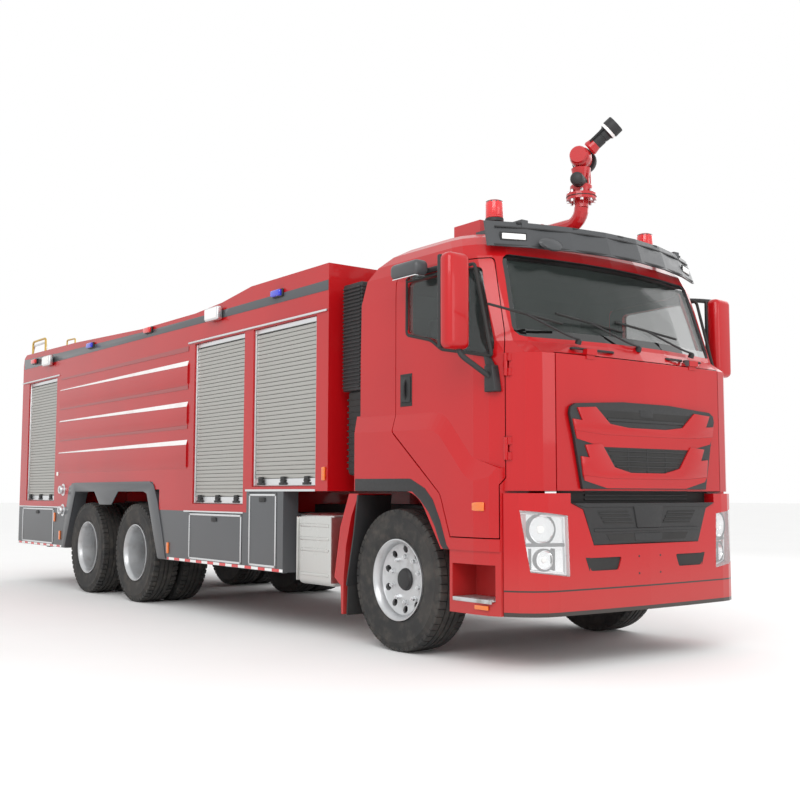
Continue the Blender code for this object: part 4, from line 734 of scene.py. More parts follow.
foot = [(0.062, 0.084), (0.068, 0.080), (0.068, 0.058), (0.056, 0.050), (0.052, 0.0)]
for x in (-0.83, 0.83):
    beacons.add(red_lens, turned(cap, (x, -0.72, 3.07), steps=40))
    beacons.add(black_trim, turned(foot, (x, -0.72, 3.07), steps=40))
beacons.place("beacons", "truck", "lamp_glass")

# Rear-view mirrors: a tall red housing with its glass facing back, on black tubular arms from the door, and
# a small kerb mirror over the right-hand window.
mirror_glass = Finish("mirror_glass", (0.85, 0.87, 0.88), 0.02, Metallic=1.0)
mirror_glass.set(Roughness=mirror_glass.cloud(4) * 0.05 + 0.01)
for side, label in SIDES:
    view_mirror = Shape()
    view_mirror.add(fire_red, block((1.331, 1.529), (-1.04, -0.925), (2.12, 2.77), 0.045, 5))
    view_mirror.add(black_trim, block((1.337, 1.523), (-0.94, -0.906), (2.127, 2.763), 0.012, 3))
    view_mirror.add(mirror_glass, block((1.352, 1.508), (-0.909, -0.902), (2.33, 2.745), 0.003))
    view_mirror.add(mirror_glass, block((1.352, 1.508), (-0.909, -0.902), (2.145, 2.31), 0.003))
    foot = plate("x", [(-1.15, 1.84), (-1.04, 1.84), (-1.04, 2.02), (-1.12, 2.02)], 1.16, 1.225, 0.008, 3)
    arm = tube(
        [(1.20, -1.09, 1.93), (1.30, -1.06, 2.0), (1.40, -0.99, 2.09), (1.40, -0.97, 2.2)], 0.019, 0.05
    )
    stay = tube([(1.20, -0.76, 2.77), (1.30, -0.85, 2.77), (1.42, -0.96, 2.755)], 0.018, 0.05)
    brace = plate("x", [(-1.13, 2.0), (-1.05, 2.0), (-1.02, 2.10), (-1.05, 2.12)], 1.19, 1.215, 0.004)
    rail = block((1.16, 1.233), (-0.82, -0.36), (2.752, 2.788), 0.01)
    view_mirror.add(black_trim, foot, arm, stay, brace, rail)
    if label == "right":
        hood = block((1.292, 1.42), (-0.545, -0.225), (2.705, 2.818), 0.04, 4)
        view_mirror.add(visor_grey, hood)
        view_mirror.add(mirror_glass, block((1.31, 1.405), (-0.52, -0.25), (2.700, 2.708), 0.003))
        view_mirror.add(black_trim, block((1.21, 1.32), (-0.45, -0.38), (2.752, 2.788), 0.008))
    view_mirror.place(f"mirror_set_{label}", f"door_{label}", "fire_red", (f"mirror_{label}",), side)

# Wheels: one-piece pressed steel discs on ten studs, painted silver, with hand holes round the disc, and
# heavy truck tyres. The front pair carries ribbed tread, the driven pairs open blocks, both with dust in it.
def ringed(part, count, centre, axis):
    """A part and its copies, evenly round an axis."""
    geometry = part.verts[:] + part.edges[:] + part.faces[:]
    angle = 2 * pi * (count - 1) / count
    bmesh.ops.spin(
        part, geom=geometry, cent=centre, axis=axis, angle=angle, steps=count - 1, use_duplicate=True
    )
    return part


wheel_silver = Finish("wheel_silver", (0.55, 0.56, 0.57), 0.36, Metallic=0.75)
grime = wheel_silver.cloud(9, 4).ramp(0.45, 0.75) * 0.35
wheel_silver.set(
    Base_Color=wheel_silver.mix(grime, (0.56, 0.57, 0.58), (0.22, 0.20, 0.18)), Roughness=grime * 0.5 + 0.32
)
tyre_rubber = Finish("tyre_rubber", (0.020, 0.020, 0.020), 0.85)
scuff = tyre_rubber.cloud(14, 4).ramp(0.42, 0.7) * 0.30 + tyre_rubber.cloud(3).ramp(0.4, 0.7) * 0.2
tyre_rubber.set(
    Base_Color=tyre_rubber.mix(scuff, (0.020, 0.020, 0.020), (0.115, 0.10, 0.085)),
    Roughness=scuff * 0.2 + 0.74,
)
tyre_rubber.relief(tyre_rubber.cloud(350, 2), 0.0008, 0.4)
cast_iron = Finish("cast_iron", (0.035, 0.035, 0.036), 0.62, Metallic=0.4)
rust = cast_iron.cloud(7, 4).ramp(0.5, 0.75) * 0.5
cast_iron.set(Base_Color=cast_iron.mix(rust, (0.030, 0.030, 0.031), (0.10, 0.055, 0.035)))
cast_iron.relief(cast_iron.cloud(220, 3), 0.0008, 0.5)
OUT = (1, 0, 0)


def bored(part, cutter):
    """A part with another's shape taken out of it."""
    holders = []
    for stock in (part, cutter):
        mesh = bpy.data.meshes.new("stock")
        stock.to_mesh(mesh)
        stock.free()
        holders.append(bpy.data.objects.new("stock", mesh))
        bpy.context.scene.collection.objects.link(holders[-1])
    cut = holders[0].modifiers.new("bore", "BOOLEAN")
    cut.object, cut.solver = holders[1], "EXACT"
    bpy.context.view_layer.update()
    result = bmesh.new()
    result.from_mesh(holders[0].evaluated_get(bpy.context.evaluated_depsgraph_get()).to_mesh())
    for holder in holders:
        bpy.data.objects.remove(holder)
    return result


def tyre(centre, gap):
    """A tyre about a point on its axle, with its shoulder blocks so far apart."""
    half = [
        (0.2985, 0.112), (0.305, 0.126), (0.33, 0.134), (0.336, 0.137), (0.37, 0.144), (0.42, 0.1475),
        (0.455, 0.146),
    ]
    half += [
        (0.459, 0.148), (0.463, 0.1455), (0.495, 0.135), (0.510, 0.124), (0.5125, 0.072), (0.524, 0.070),
        (0.524, 0.030),
    ]
    half += [(0.5125, 0.027), (0.5125, 0.017), (0.525, 0.014)]
    profile = half + [(radius, -along) for radius, along in reversed(half)]
    carcass = turned(profile, centre, OUT, 72, True)
    count = 54
    pitch = 2 * pi * 0.52 / count
    parts = [carcass]
    for end in (-1, 1):
        low, high = sorted((end * 0.078, end * 0.137))
        lug = block((low, high), (-(pitch - gap) / 2, (pitch - gap) / 2), (0.495, 0.525), 0.004, 1)
        for vertex in lug.verts:
            if abs(vertex.co.x) > 0.1:
                vertex.co.z -= 0.006
        parts.append(ringed(shift(lug, *centre), count, centre, OUT))
    return parts


def nuts(centre, radius, count=10):
    """A ring of wheel nuts, each with its washer and stud end."""
    nut = turned(
        [
            (0, 0.034), (0.010, 0.034), (0.010, 0.026), (0.017, 0.024), (0.018, 0.005), (0.022, 0.004),
            (0.022, 0), (0, 0),
        ],
        (0, 0, 0),
        OUT,
        6,
    )
    return ringed(shift(nut, centre[0], centre[1], centre[2] + radius), count, centre, OUT)


def hand_holes(centre, radius, size):
    hole = turned([(0, -0.2), (size, -0.2), (size, 0.2), (0, 0.2)], (0, 0, 0), OUT, 20)
    return ringed(shift(hole, centre[0], centre[1], centre[2] + radius), 10, centre, OUT)


HUB = 0.525
NUT_CIRCLE = 0.1675
front_disc = [
    (0, 1.084), (0.085, 1.084), (0.12, 1.080), (0.19, 1.080), (0.215, 1.086), (0.245, 1.092), (0.262, 1.108)
]
front_disc += [
    (0.270, 1.150), (0.284, 1.164), (0.293, 1.172), (0.301, 1.170), (0.301, 0.895), (0.285, 0.895),
    (0.262, 0.93),
]
front_disc += [(0.255, 1.075), (0.215, 1.070), (0, 1.066)]
rear_disc = [
    (0, 0.965), (0.14, 0.965), (0.19, 0.962), (0.235, 0.968), (0.255, 0.985), (0.263, 1.02), (0.267, 1.185),
    (0.280, 1.222),
]
rear_disc += [(0.293, 1.237), (0.301, 1.235), (0.301, 0.955), (0.262, 0.945), (0.235, 0.935), (0, 0.935)]
hub_end = [
    (0, 1.062), (0.068, 1.062), (0.078, 1.054), (0.086, 1.04), (0.090, 1.0), (0.105, 0.99), (0.110, 0.964),
    (0, 0.964),
]
for side, label in SIDES:
    wheel, middle = Shape(), (0, 0, HUB)
    wheel.add(
        wheel_silver, bored(turned(front_disc, middle, OUT, 64), hand_holes((1.08, 0, HUB), 0.222, 0.027))
    )
    wheel.add(bright_metal, nuts((1.080, 0, HUB), NUT_CIRCLE))
    cap = [
        (0, 1.117), (0.055, 1.116), (0.070, 1.110), (0.076, 1.098), (0.082, 1.094), (0.084, 1.082), (0, 1.082)
    ]
    wheel.add(black_trim, turned(cap, middle, OUT, 40))
    wheel.add(
        cast_iron,
        turned(
            [(0.13, 0.90), (0.20, 0.91), (0.205, 1.03), (0.15, 1.05), (0.0, 1.05), (0.0, 0.90)],
            middle,
            OUT,
            40,
        ),
    )
    wheel.place(
        f"steel_wheel_{label}", f"front_wheel_{label}", "wheel_silver", (f"front_wheel_{label}",), side
    )
    rubber_ring = Shape().add(tyre_rubber, *tyre((1.0325, 0, HUB), 0.006))
    rubber_ring.place(
        f"ribbed_tyre_{label}", f"front_wheel_{label}", "tyre_rubber", (f"front_tyre_{label}",), side
    )
    for axle, y in ((1, 4.60), (2, 5.97)):
        middle = (0, y, HUB)
        twin = Shape()
        twin.add(
            wheel_silver, bored(turned(rear_disc, middle, OUT, 64), hand_holes((0.95, y, HUB), 0.215, 0.030))
        )
        twin.add(
            wheel_silver,
            turned([(0.301, 0.615), (0.301, 0.90), (0.283, 0.90), (0.283, 0.615)], middle, OUT, 48, True),
        )
        twin.add(bright_metal, nuts((0.964, y, HUB), NUT_CIRCLE))
        twin.add(cast_iron, turned(hub_end, middle, OUT, 40))
        twin.add(tyre_rubber, *tyre((1.0975, y, HUB), 0.016), *tyre((0.7575, y, HUB), 0.016))
        twin.place(
            f"twin_wheels_{axle}_{label}", f"rear_wheels_{axle}_{label}", "tyre_rubber",
            (f"rear_wheels_{axle}_{label}",), side,
        )

# Front wing behind the wheel: the red guard has a black inner edge and a hanging rubber flap.
for side, label in SIDES:
    flap = Shape().add(
        rubber, plate("x", [(0.60, 0.215), (0.615, 0.215), (0.60, 0.46), (0.585, 0.46)], 0.895, 1.20, 0.003)
    )
    edge = [(0.435, 1.15), (0.455, 1.15), (0.505, 0.85), (0.60, 0.45), (0.585, 0.44), (0.49, 0.84)]
    flap.add(black_trim, plate("x", edge, 0.89, 1.216, 0.003))
    flap.place(f"mud_flap_{label}", "truck", "black_plastic", side=side)
dress(fire_red, "mudguard_right", "mudguard_left", "cab_step_right", "cab_step_left")

# Cab steps: ribbed aluminium treads in the two step wells, with a small amber lamp in the lower box.
def copied(part, count, *step):
    """A part and its copies, each one step on from the last."""
    first = part.verts[:] + part.edges[:] + part.faces[:]
    for number in range(1, count):
        made = bmesh.ops.duplicate(part, geom=first)["geom"]
        moved = [v for v in made if isinstance(v, bmesh.types.BMVert)]
        bmesh.ops.translate(part, vec=Vector(step) * number, verts=moved)
    return part


tread_metal = Finish("tread_plate", (0.62, 0.63, 0.64), 0.36, Metallic=0.9)
x_line, y_line, _ = tread_metal.axes()
bars = ((x_line + y_line) * 130).wave() * ((x_line - y_line) * 130).wave()
tread_metal.relief(abs(bars).ramp(0.55, 0.8), 0.003, 0.9)
tread_metal.set(
    Base_Color=tread_metal.mix(tread_metal.cloud(8).ramp(0.4, 0.7), (0.62, 0.63, 0.64), (0.40, 0.38, 0.36))
)
for side, label in SIDES:
    steps = Shape()
    steps.add(tread_metal, block((1.03, 1.236), (-1.115, -0.725), (0.452, 0.462), 0.003))
    steps.add(
        tread_metal, copied(block((1.04, 1.232), (-1.105, -1.085), (0.460, 0.467), 0.002), 9, 0, 0.043, 0)
    )
    steps.add(tread_metal, block((1.225, 1.24), (-1.115, -0.725), (0.438, 0.466), 0.004))
    steps.add(amber, block((1.225, 1.2405), (-1.08, -0.95), (0.395, 0.425), 0.005, 3))
    steps.place(f"lower_tread_{label}", "truck", "wheel_silver", side=side)
    upper = Shape()
    upper.add(tread_metal, block((0.87, 0.995), (-1.09, -0.755), (0.832, 0.842), 0.003))
    upper.add(
        tread_metal, copied(block((0.88, 0.99), (-1.08, -1.062), (0.840, 0.847), 0.002), 8, 0, 0.042, 0)
    )
    upper.place(f"upper_tread_{label}", "truck", "wheel_silver", side=side)

# Fuel tank and battery box: a polished stainless tank with pressed ribs and a step plate on the right, and
# the black battery box on the left, both strapped to the chassis rails.
tank_metal = Finish("tank_metal", (0.62, 0.62, 0.60), 0.28, Metallic=1.0)
tank_metal.set(Roughness=tank_metal.cloud(3, 5, (1, 12, 1)) * 0.2 + 0.2)
tank_metal.relief(tank_metal.cloud(6, 3, (1, 10, 1)), 0.002, 0.12)
tank = Shape().add(tank_metal, block((0.60, 1.196), (0.832, 1.358), (0.412, 0.998), 0.05, 5))
for z, front, rear in ((0.50, 0.88, 1.31), (0.70, 0.88, 1.31), (0.79, 0.88, 1.31), (0.90, 0.88, 1.31)):
    tank.add(tank_metal, block((1.19, 1.204), (front, rear), (z - 0.014, z + 0.014), 0.006, 3))
tank.add(
    tank_metal, block((0.62, 1.204), (1.345, 1.359), (0.44, 0.97), 0.006),
    block((0.62, 1.204), (0.831, 0.845), (0.44, 0.97), 0.006),
)
tank.add(
    black_trim,
    turned(
        [(0, 0), (0.045, 0), (0.045, 0.03), (0.03, 0.036), (0, 0.036)], (1.05, 1.28, 0.962), (0, 0, 1), 24
    ),
)
tank.place("polished_fuel_tank", "truck", "wheel_silver", ("fuel_tank",), -1)
crate = Shape().add(black_trim, block((0.60, 1.155), (0.862, 1.418), (0.462, 0.978), 0.02, 3))
crate.add(black_trim, copied(block((1.15, 1.164), (0.90, 0.93), (0.50, 0.90), 0.005), 7, 0, 0.078, 0))
crate.add(black_trim, block((0.60, 1.165), (0.861, 1.419), (0.92, 0.94), 0.006))
crate.place("battery_cover", "truck", "black_plastic", ("battery_box",))

# Air intake: a black stack behind the cab with louvres all the way up its outer face, on a ribbed duct.
stack = Shape().add(black_trim, block((1.005, 1.165), (0.475, 0.735), (1.975, 2.845), 0.012, 3))
stack.add(black_trim, copied(block((1.160, 1.179), (0.485, 0.725), (2.0, 2.014), 0.004, 1), 28, 0, 0, 0.0296))
stack.add(black_trim, copied(block((1.01, 1.17), (0.4715, 0.480), (2.0, 2.014), 0.003, 1), 28, 0, 0, 0.0296))
stack.add(rubber, block((1.025, 1.145), (0.495, 0.695), (1.305, 1.98), 0.03, 4))
stack.add(rubber, copied(block((1.021, 1.149), (0.491, 0.699), (1.35, 1.365), 0.005, 1), 12, 0, 0, 0.05))
stack.place("intake_louvres", "truck", "black_plastic", ("air_intake",), -1)

# Locker body: red sheet over a frame. Along its top runs a dark grey band, and the long side panel between
# the shutters has three pressed ribs. On each rib's sloping top, a white strip that narrows to the rear is a
# painted sky reflection, and a dark red band above each rib is painted shadow of the pressing.
body_grey = sprayed("body_grey", (0.085, 0.090, 0.097), (0.20, 0.17, 0.15), 0.38, 0.35)
# White with pinkish patches: the real white ring on the monitor barrel, and the painted sky reflection on the
# flank ribs.
white_and_sky_glint_paint = Finish("white_and_sky_glint_paint", (0.88, 0.86, 0.85), 0.3, Coat_Weight=0.5)
white_and_sky_glint_paint.set(
    Base_Color=white_and_sky_glint_paint.mix(white_and_sky_glint_paint.cloud(3).ramp(0.4, 0.8), (0.88, 0.86, 0.85), (0.80, 0.70, 0.69))
)
# Dark red for the bands above the ribs: painted shadow of the pressings.
rib_shadow_paint = Finish("rib_shadow_red", (0.30, 0.008, 0.010), 0.35, Coat_Weight=0.5)
rib_shadow_paint.set(Base_Color=rib_shadow_paint.mix(rib_shadow_paint.cloud(2), (0.27, 0.008, 0.010), (0.34, 0.010, 0.012)))

SKIN = 1.2495
PANEL_FRONT, PANEL_REAR = 3.35, 6.95
SKY_GLINT_PROUD = 0.0006


def narrowed(part, middle, share, start=PANEL_FRONT, end=PANEL_REAR):
    """Draws the height of a part in towards a level, the further back the more."""
    for vertex in part.verts:
        along = (vertex.co.y - start) / (end - start)
        vertex.co.z += (middle - vertex.co.z) * along * (1 - share)
    return part


for side, label in SIDES:
    flank = Shape()
    band = [
        (0.825, 2.815), (8.40, 2.845), (8.40, 2.98), (7.0, 2.94), (4.3, 2.90), (3.0, 2.895), (0.825, 2.90)
    ]
    flank.add(body_grey, plate("x", band, SKIN, 1.2525, 0.001))
    for top, low, middle in ((2.48, 2.23, 2.452), (2.07, 1.83, 2.062), (1.69, 1.40, 1.662)):
        rib = plate(
            "y", [(1.249, top), (1.264, top - 0.05), (1.264, low + 0.03), (1.249, low)], PANEL_FRONT,
            PANEL_REAR,
        )
        flank.add(fire_red, rib)
        # The white strip on the rib's upward-facing slope is a painted reflection of the sky, not a stripe on
        # the panel.
        painted_sky_glint = plate("y", [(1.2505, top), (1.266, top - 0.05), (1.2505, top - 0.05)], 3.352, 6.948)
        flank.add(white_and_sky_glint_paint, narrowed(shift(painted_sky_glint, SKY_GLINT_PROUD, 0, 0), middle, 0.32))
    # Dark red bands above each rib, narrowing to the rear: painted shade where the pressing's upper face
    # would lie in shadow.
    for high, low, middle in ((2.625, 2.575, 2.585), (2.235, 2.195, 2.205), (1.835, 1.80, 1.81)):
        flank.add(
            rib_shadow_paint,
            narrowed(
                plate("x", [(3.352, low), (6.948, low), (6.948, high), (3.352, high)], 1.2515, 1.2545),
                middle,
                0.4,
            ),
        )
    for start, end in ((0.83, 3.34), (7.0, 8.41)):
        flank.add(bright_metal, block((1.249, 1.268), (start, end), (2.642, 2.660), 0.004))
    flank.place(f"flank_ribs_{label}", "truck", "fire_red", side=side)

# Shutters: interlocking aluminium slats in side rails, closed by a bottom bar with three black latches.
slat_metal = Finish("shutter_slats", (0.46, 0.455, 0.43), 0.42, Metallic=0.8)
slat_metal.set(Roughness=slat_metal.cloud(2, 4, (1, 1, 14)) * 0.2 + 0.36)
slat_metal.relief(slat_metal.cloud(300, 2, (1, 0.1, 1)), 0.0005, 0.3)


def shutter_parts(shape, x_face, front, rear, low, high):
    """A closed shutter whose curtain faces outwards at x_face, between its rails."""
    count = int((high - low - 0.12) / 0.036)
    pitch = (high - low - 0.12) / count
    profile = [
        (x_face - 0.012, 0.0), (x_face - 0.002, 0.002), (x_face, 0.010), (x_face, pitch - 0.010),
        (x_face - 0.004, pitch - 0.003), (x_face - 0.012, pitch),
    ]
    slat = plate("y", [(x, low + 0.07 + z) for x, z in profile], front + 0.03, rear - 0.03)
    shape.add(slat_metal, copied(slat, count, 0, 0, pitch))
    shape.add(
        rubber,
        block((x_face - 0.02, x_face - 0.008), (front + 0.012, rear - 0.012), (low + 0.03, high - 0.012)),
    )
    for start in (front + 0.002, rear - 0.026):
        shape.add(
            bright_metal,
            block(
                (x_face - 0.03, x_face + 0.012), (start, start + 0.024), (low + 0.002, high - 0.002), 0.004
            ),
        )
    shape.add(
        bright_metal,
        block(
            (x_face - 0.03, x_face + 0.012), (front + 0.026, rear - 0.026), (high - 0.045, high - 0.002),
            0.006,
        ),
    )
    shape.add(
        bright_metal,
        block(
            (x_face - 0.02, x_face + 0.009), (front + 0.026, rear - 0.026), (low + 0.004, low + 0.068), 0.006
        ),
    )
    for share in (0.14, 0.5, 0.86):
        y = front + (rear - front) * share
        shape.add(
            black_trim,
            block((x_face, x_face + 0.022), (y - 0.06, y + 0.06), (low + 0.012, low + 0.034), 0.005),
        )
        shape.add(
            black_trim,
            block((x_face, x_face + 0.028), (y - 0.03, y + 0.03), (low + 0.02, low + 0.085), 0.008, 3),
        )
        shape.add(
            rubber,
            tube(
                [
                    (x_face + 0.012, y - 0.045, low + 0.05), (x_face + 0.03, y, low + 0.062),
                    (x_face + 0.012, y + 0.045, low + 0.05),
                ],
                0.007,
                0.02,
            ),
        )


BAYS = ((1, 1.00, 2.05, 1.22), (2, 2.21, 3.22, 1.06), (3, 7.10, 8.17, 1.06))
for side, label in SIDES:
    for number, front, rear, low in BAYS:
        door = Shape()
        shutter_parts(door, 1.225, front, rear, low, 2.63)
        door.place(
            f"roller_shutter_{number}_{label}", "truck", "shutter_silver", (f"shutter_{number}_{label}",),
            side,
        )
back_door = Shape()
shutter_parts(back_door, 8.413, -0.62, 0.62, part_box("shutter_back")[0].z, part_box("shutter_back")[1].z)
bmesh.ops.rotate(back_door.mesh, matrix=Matrix.Rotation(pi / 2, 3, "Z"), verts=back_door.mesh.verts)
back_door.place("back_roller_shutter", "truck", "shutter_silver", ("shutter_back",))

# Skirts: grey lower panels with drop-down locker doors edged in aluminium, a black-grey wheel arch trim and
# red and white reflective tape along the bottom.
dress(body_grey, "skirt_right", "skirt_left")
dress(body_grey, *(f"flap_{door}_{side}" for door in ("step", "front", "rear") for side in ("right", "left")))
tape = Finish("reflective_tape", (0.8, 0.8, 0.8), 0.25, Coat_Weight=0.6)
along = tape.axes()[1] + tape.axes()[0]
tape.set(Base_Color=tape.mix((along % 0.24) / 0.24 > 0.5, (0.82, 0.81, 0.80), (0.62, 0.012, 0.016)))
tape.relief(tape.node("TexVoronoi", {}, {"Vector": tape.place, "Scale": 260.0}), 0.0006, 0.4)
blue_lens = Finish("blue_lens", (0.01, 0.03, 0.62), 0.1, Coat_Weight=1.0)
blue_lens.relief((blue_lens.axes()[1] * 420).wave() * 0.5 + 0.5, 0.002, 0.5)
brass = Finish("brass_rail", (0.62, 0.42, 0.12), 0.3, Metallic=1.0)
brass.set(Roughness=brass.cloud(20) * 0.2 + 0.2)
FLAPS = (("step", 1.61, 2.09, 1.16), ("front", 2.22, 3.28, 0.97), ("rear", 7.09, 8.28, 0.97))
for side, label in SIDES:
    for name, front, rear, top in FLAPS:
        rim = Shape()
        for y in (front + 0.004, rear - 0.022):
            rim.add(bright_metal, block((SKIN, 1.256), (y, y + 0.018), (0.525, top - 0.003), 0.002))
        for z in (0.524, top - 0.022):
            rim.add(bright_metal, block((SKIN, 1.256), (front + 0.004, rear - 0.004), (z, z + 0.018), 0.002))
        rim.add(
            black_trim,
            block(
                (SKIN, 1.262), ((front + rear) / 2 - 0.05, (front + rear) / 2 + 0.05),
                (top - 0.075, top - 0.035), 0.006, 3,
            ),
        )
        rim.place(f"flap_edging_{name}_{label}", f"flap_{name}_{label}", "wheel_silver", side=side)
    trim = Shape()
    outer = [
        (6.76, 0.50), (6.66, 0.89), (6.55, 1.24), (6.38, 1.285), (4.21, 1.285), (4.11, 1.25), (4.01, 1.09),
        (3.87, 0.74), (3.79, 0.50),
    ]
    inner = [
        (3.975, 0.50), (4.27, 1.155), (4.36, 1.178), (5.04, 1.178), (5.22, 1.03), (5.57, 1.03), (5.73, 1.178),
        (6.34, 1.178), (6.655, 0.50),
    ]
    trim.add(body_grey, plate("x", outer + inner, SKIN, 1.262, 0.004))
    for start, end in ((1.50, 3.76), (6.79, 8.43)):
        trim.add(tape, block((SKIN, 1.2515), (start, end), (0.493, 0.518)))
    trim.add(bright_metal, block((SKIN, 1.254), (2.2, 3.40), (0.978, 0.992)))
    trim.add(bright_metal, block((SKIN, 1.254), (6.9, 8.42), (0.978, 0.992)))
    trim.add(bright_metal, block((SKIN, 1.254), (1.0, 2.16), (1.178, 1.196)))
    for y, z in ((0.87, 1.32), (3.74, 0.61), (7.04, 0.86), (6.84, 0.64)):
        trim.add(amber, block((SKIN, 1.266), (y - 0.022, y + 0.022), (z - 0.055, z + 0.055), 0.006, 3))
    trim.add(white_lens, block((SKIN, 1.262), (6.955, 7.005), (1.375, 1.425), 0.005, 3))
    for z in (1.20, 0.95):
        inlet = [
            (0, 0.018), (0.022, 0.02), (0.026, 0.05), (0.046, 0.055), (0.052, 0.045), (0.052, 0.01),
            (0.075, 0.006), (0.075, 0), (0, 0),
        ]
        trim.add(bright_metal, turned(inlet, (SKIN, 6.77, z), OUT, 32))
    trim.place(f"skirt_trim_{label}", "truck", "body_grey", side=side)
    lamps = Shape()
    for finish, y, z in (
        (blue_lens, 5.95, 2.915), (red_lens, 4.30, 2.90), (blue_lens, 1.61, 2.90), (red_lens, 7.94, 2.915)
    ):
        lamps.add(
            black_trim, block((1.2515, 1.272), (y - 0.085, y + 0.085), (z - 0.035, z + 0.035), 0.008, 3)
        )
        lamps.add(finish, block((1.262, 1.30), (y - 0.078, y + 0.078), (z - 0.029, z + 0.029), 0.014, 4))
    for y in (2.75, 7.35):
        lamps.add(bright_metal, block((1.262, 1.33), (y - 0.13, y + 0.13), (2.80, 2.93), 0.02, 4))
        lamps.add(white_lens, block((1.325, 1.336), (y - 0.115, y + 0.115), (2.815, 2.915), 0.008, 3))
        lamps.add(black_trim, block((1.251, 1.27), (y - 0.03, y + 0.03), (2.83, 2.90), 0.004))
    lamps.place(f"side_lamps_{label}", "truck", "lamp_glass", side=side)
    rails = Shape()
    rails.add(
        brass,
        tube([(1.21, 7.70, 3.03), (1.21, 7.70, 3.21), (1.21, 8.20, 3.21), (1.21, 8.20, 3.03)], 0.014, 0.05),
    )
    rails.add(
        brass,
        tube([(1.21, 6.62, 3.00), (1.21, 6.62, 3.08), (1.21, 6.90, 3.09), (1.21, 6.90, 3.01)], 0.010, 0.03),
    )
    rails.place(f"roof_grab_rails_{label}", "truck", "wheel_silver", side=side)

# Rear face: a bright bolted ladder, moulded lamp clusters in the skirt corners, a blank number plate, and
# tape along the edges.
dress(bright_metal, "rear_ladder")
tail = Shape()
tail.add(black_trim, block((0.66, 0.92), (8.438, 8.462), (0.56, 0.70), 0.012, 3))
tail.add(black_trim, both(block((0.95, 1.21), (8.438, 8.462), (0.56, 0.70), 0.012, 3)))
for finish, low, high in ((red_lens, 0.96, 1.07), (amber, 1.075, 1.135), (white_lens, 1.14, 1.195)):
    tail.add(finish, both(block((low, high), (8.455, 8.474), (0.575, 0.685), 0.006, 3)))
tail.add(white_lens, block((0.68, 0.90), (8.455, 8.466), (0.58, 0.68), 0.004))
tail.add(
    tape, both(block((1.222, 1.246), (8.4395, 8.4425), (1.02, 2.80))),
    block((-1.2, 1.2), (8.4395, 8.4425), (0.505, 0.535)),
)
for x in (-0.95, 0.95):
    tail.add(amber, block((x - 0.05, x + 0.05), (8.437, 8.452), (2.78, 2.82), 0.005))
tail.place("rear_lamps", "truck", "lamp_glass")

# Roof deck: bright chequer plate laid between the red walls, with four welded rests along its left side and a
# hatch over the tank.
deck = Shape().add(tread_metal, block((-1.168, 1.168), (0.90, 8.36), (2.8805, 2.886)))
for y in (2.2, 3.6, 5.0, 6.4):
    deck.add(
        bright_metal, block((0.34, 0.40), (y, y + 0.05), (2.886, 3.00), 0.006),
        block((0.98, 1.04), (y, y + 0.05), (2.886, 3.00), 0.006),
    )
    deck.add(bright_metal, block((0.34, 1.04), (y, y + 0.05), (2.93, 2.95), 0.006))
deck.add(
    bright_metal, block((-0.60, -0.10), (4.2, 4.7), (2.886, 2.93), 0.02, 3),
    block((-0.56, -0.14), (4.24, 4.66), (2.93, 2.945), 0.01),
)
deck.place("roof_deck_plate", "truck", "wheel_silver")

# Roof monitor: the flanged cast feed pipe painted red, a red swivel body with its black slewing motor, and a
# black barrel with a white ring behind its toothed mouth.
monitor_red = sprayed("monitor_red", (0.50, 0.014, 0.018), DUST, 0.33, 0.6)
dress(monitor_red, "monitor_pipe")
flange = Shape()
bolt = turned(
    [(0, 0.024), (0.010, 0.024), (0.013, 0.020), (0.013, 0), (0, 0)], (0.098, -0.80, 3.46), (0, 0, 1), 6
)
flange.add(bright_metal, ringed(bolt, 8, (0, -0.80, 3.46), (0, 0, 1)))
nut = turned([(0, -0.018), (0.013, -0.018), (0.013, 0), (0, 0)], (0.098, -0.80, 3.41), (0, 0, 1), 6)
flange.add(bright_metal, ringed(nut, 8, (0, -0.80, 3.46), (0, 0, 1)))
flange.add(
    rubber,
    turned(
        [(0.108, 3.432), (0.1165, 3.432), (0.1165, 3.438), (0.108, 3.438)], (0, -0.80, 0), steps=48, loop=True
    ),
)
for y in (-0.36, 0.36):
    flange.add(
        monitor_red,
        turned(
            [(0.05, -0.022), (0.075, -0.022), (0.078, 0.0), (0.075, 0.022), (0.05, 0.022)], (0, y, 3.235),
            (0, 1, 0), 32, True,
        ),
    )
flange.place("pipe_flange_bolts", "truck", "wheel_silver")

PIVOT = Vector((0, -0.80, 3.75))
ACROSS = Vector((-0.8660254, -0.5, 0))
swivel = Shape()
base = PIVOT + Vector((0, 0, -0.29))
ring = [
    (0, 0.001), (0.084, 0.001), (0.086, 0.012), (0.086, 0.06), (0.078, 0.07), (0.060, 0.075), (0.058, 0.12),
    (0.066, 0.15), (0.075, 0.20), (0.0, 0.24),
]
swivel.add(monitor_red, turned(ring, base, steps=40))
swivel.add(
    monitor_red,
    turned(
        [
            (0, -0.062), (0.055, -0.062), (0.074, -0.050), (0.082, -0.02), (0.082, 0.02), (0.074, 0.050),
            (0.055, 0.062), (0, 0.062),
        ],
        PIVOT,
        ACROSS,
        40,
    ),
)
for turn in range(4):
    fin = Matrix.Rotation(radians(60 * turn - 90), 3, "Z") @ Vector((0.066, 0, 0))
    swivel.add(
        monitor_red,
        tube([base + fin * 1.12 + Vector((0, 0, 0.07)), base + fin * 1.05 + Vector((0, 0, 0.20))], 0.006),
    )
motor = base + Vector((0, 0, 0.086))
drum = [
    (0, -0.172), (0.030, -0.170), (0.047, -0.158), (0.052, -0.14), (0.052, 0.02), (0.042, 0.03),
    (0.042, 0.10), (0.036, 0.118), (0, 0.12),
]
swivel.add(black_trim, turned(drum, motor, -ACROSS, 32))
swivel.add(
    cast_iron,
    turned([(0.052, -0.03), (0.056, -0.03), (0.056, -0.01), (0.052, -0.01)], motor, -ACROSS, 32, True),
)
swivel.place("monitor_swivel_casting", "monitor_swivel", "fire_red", ("monitor_swivel",))

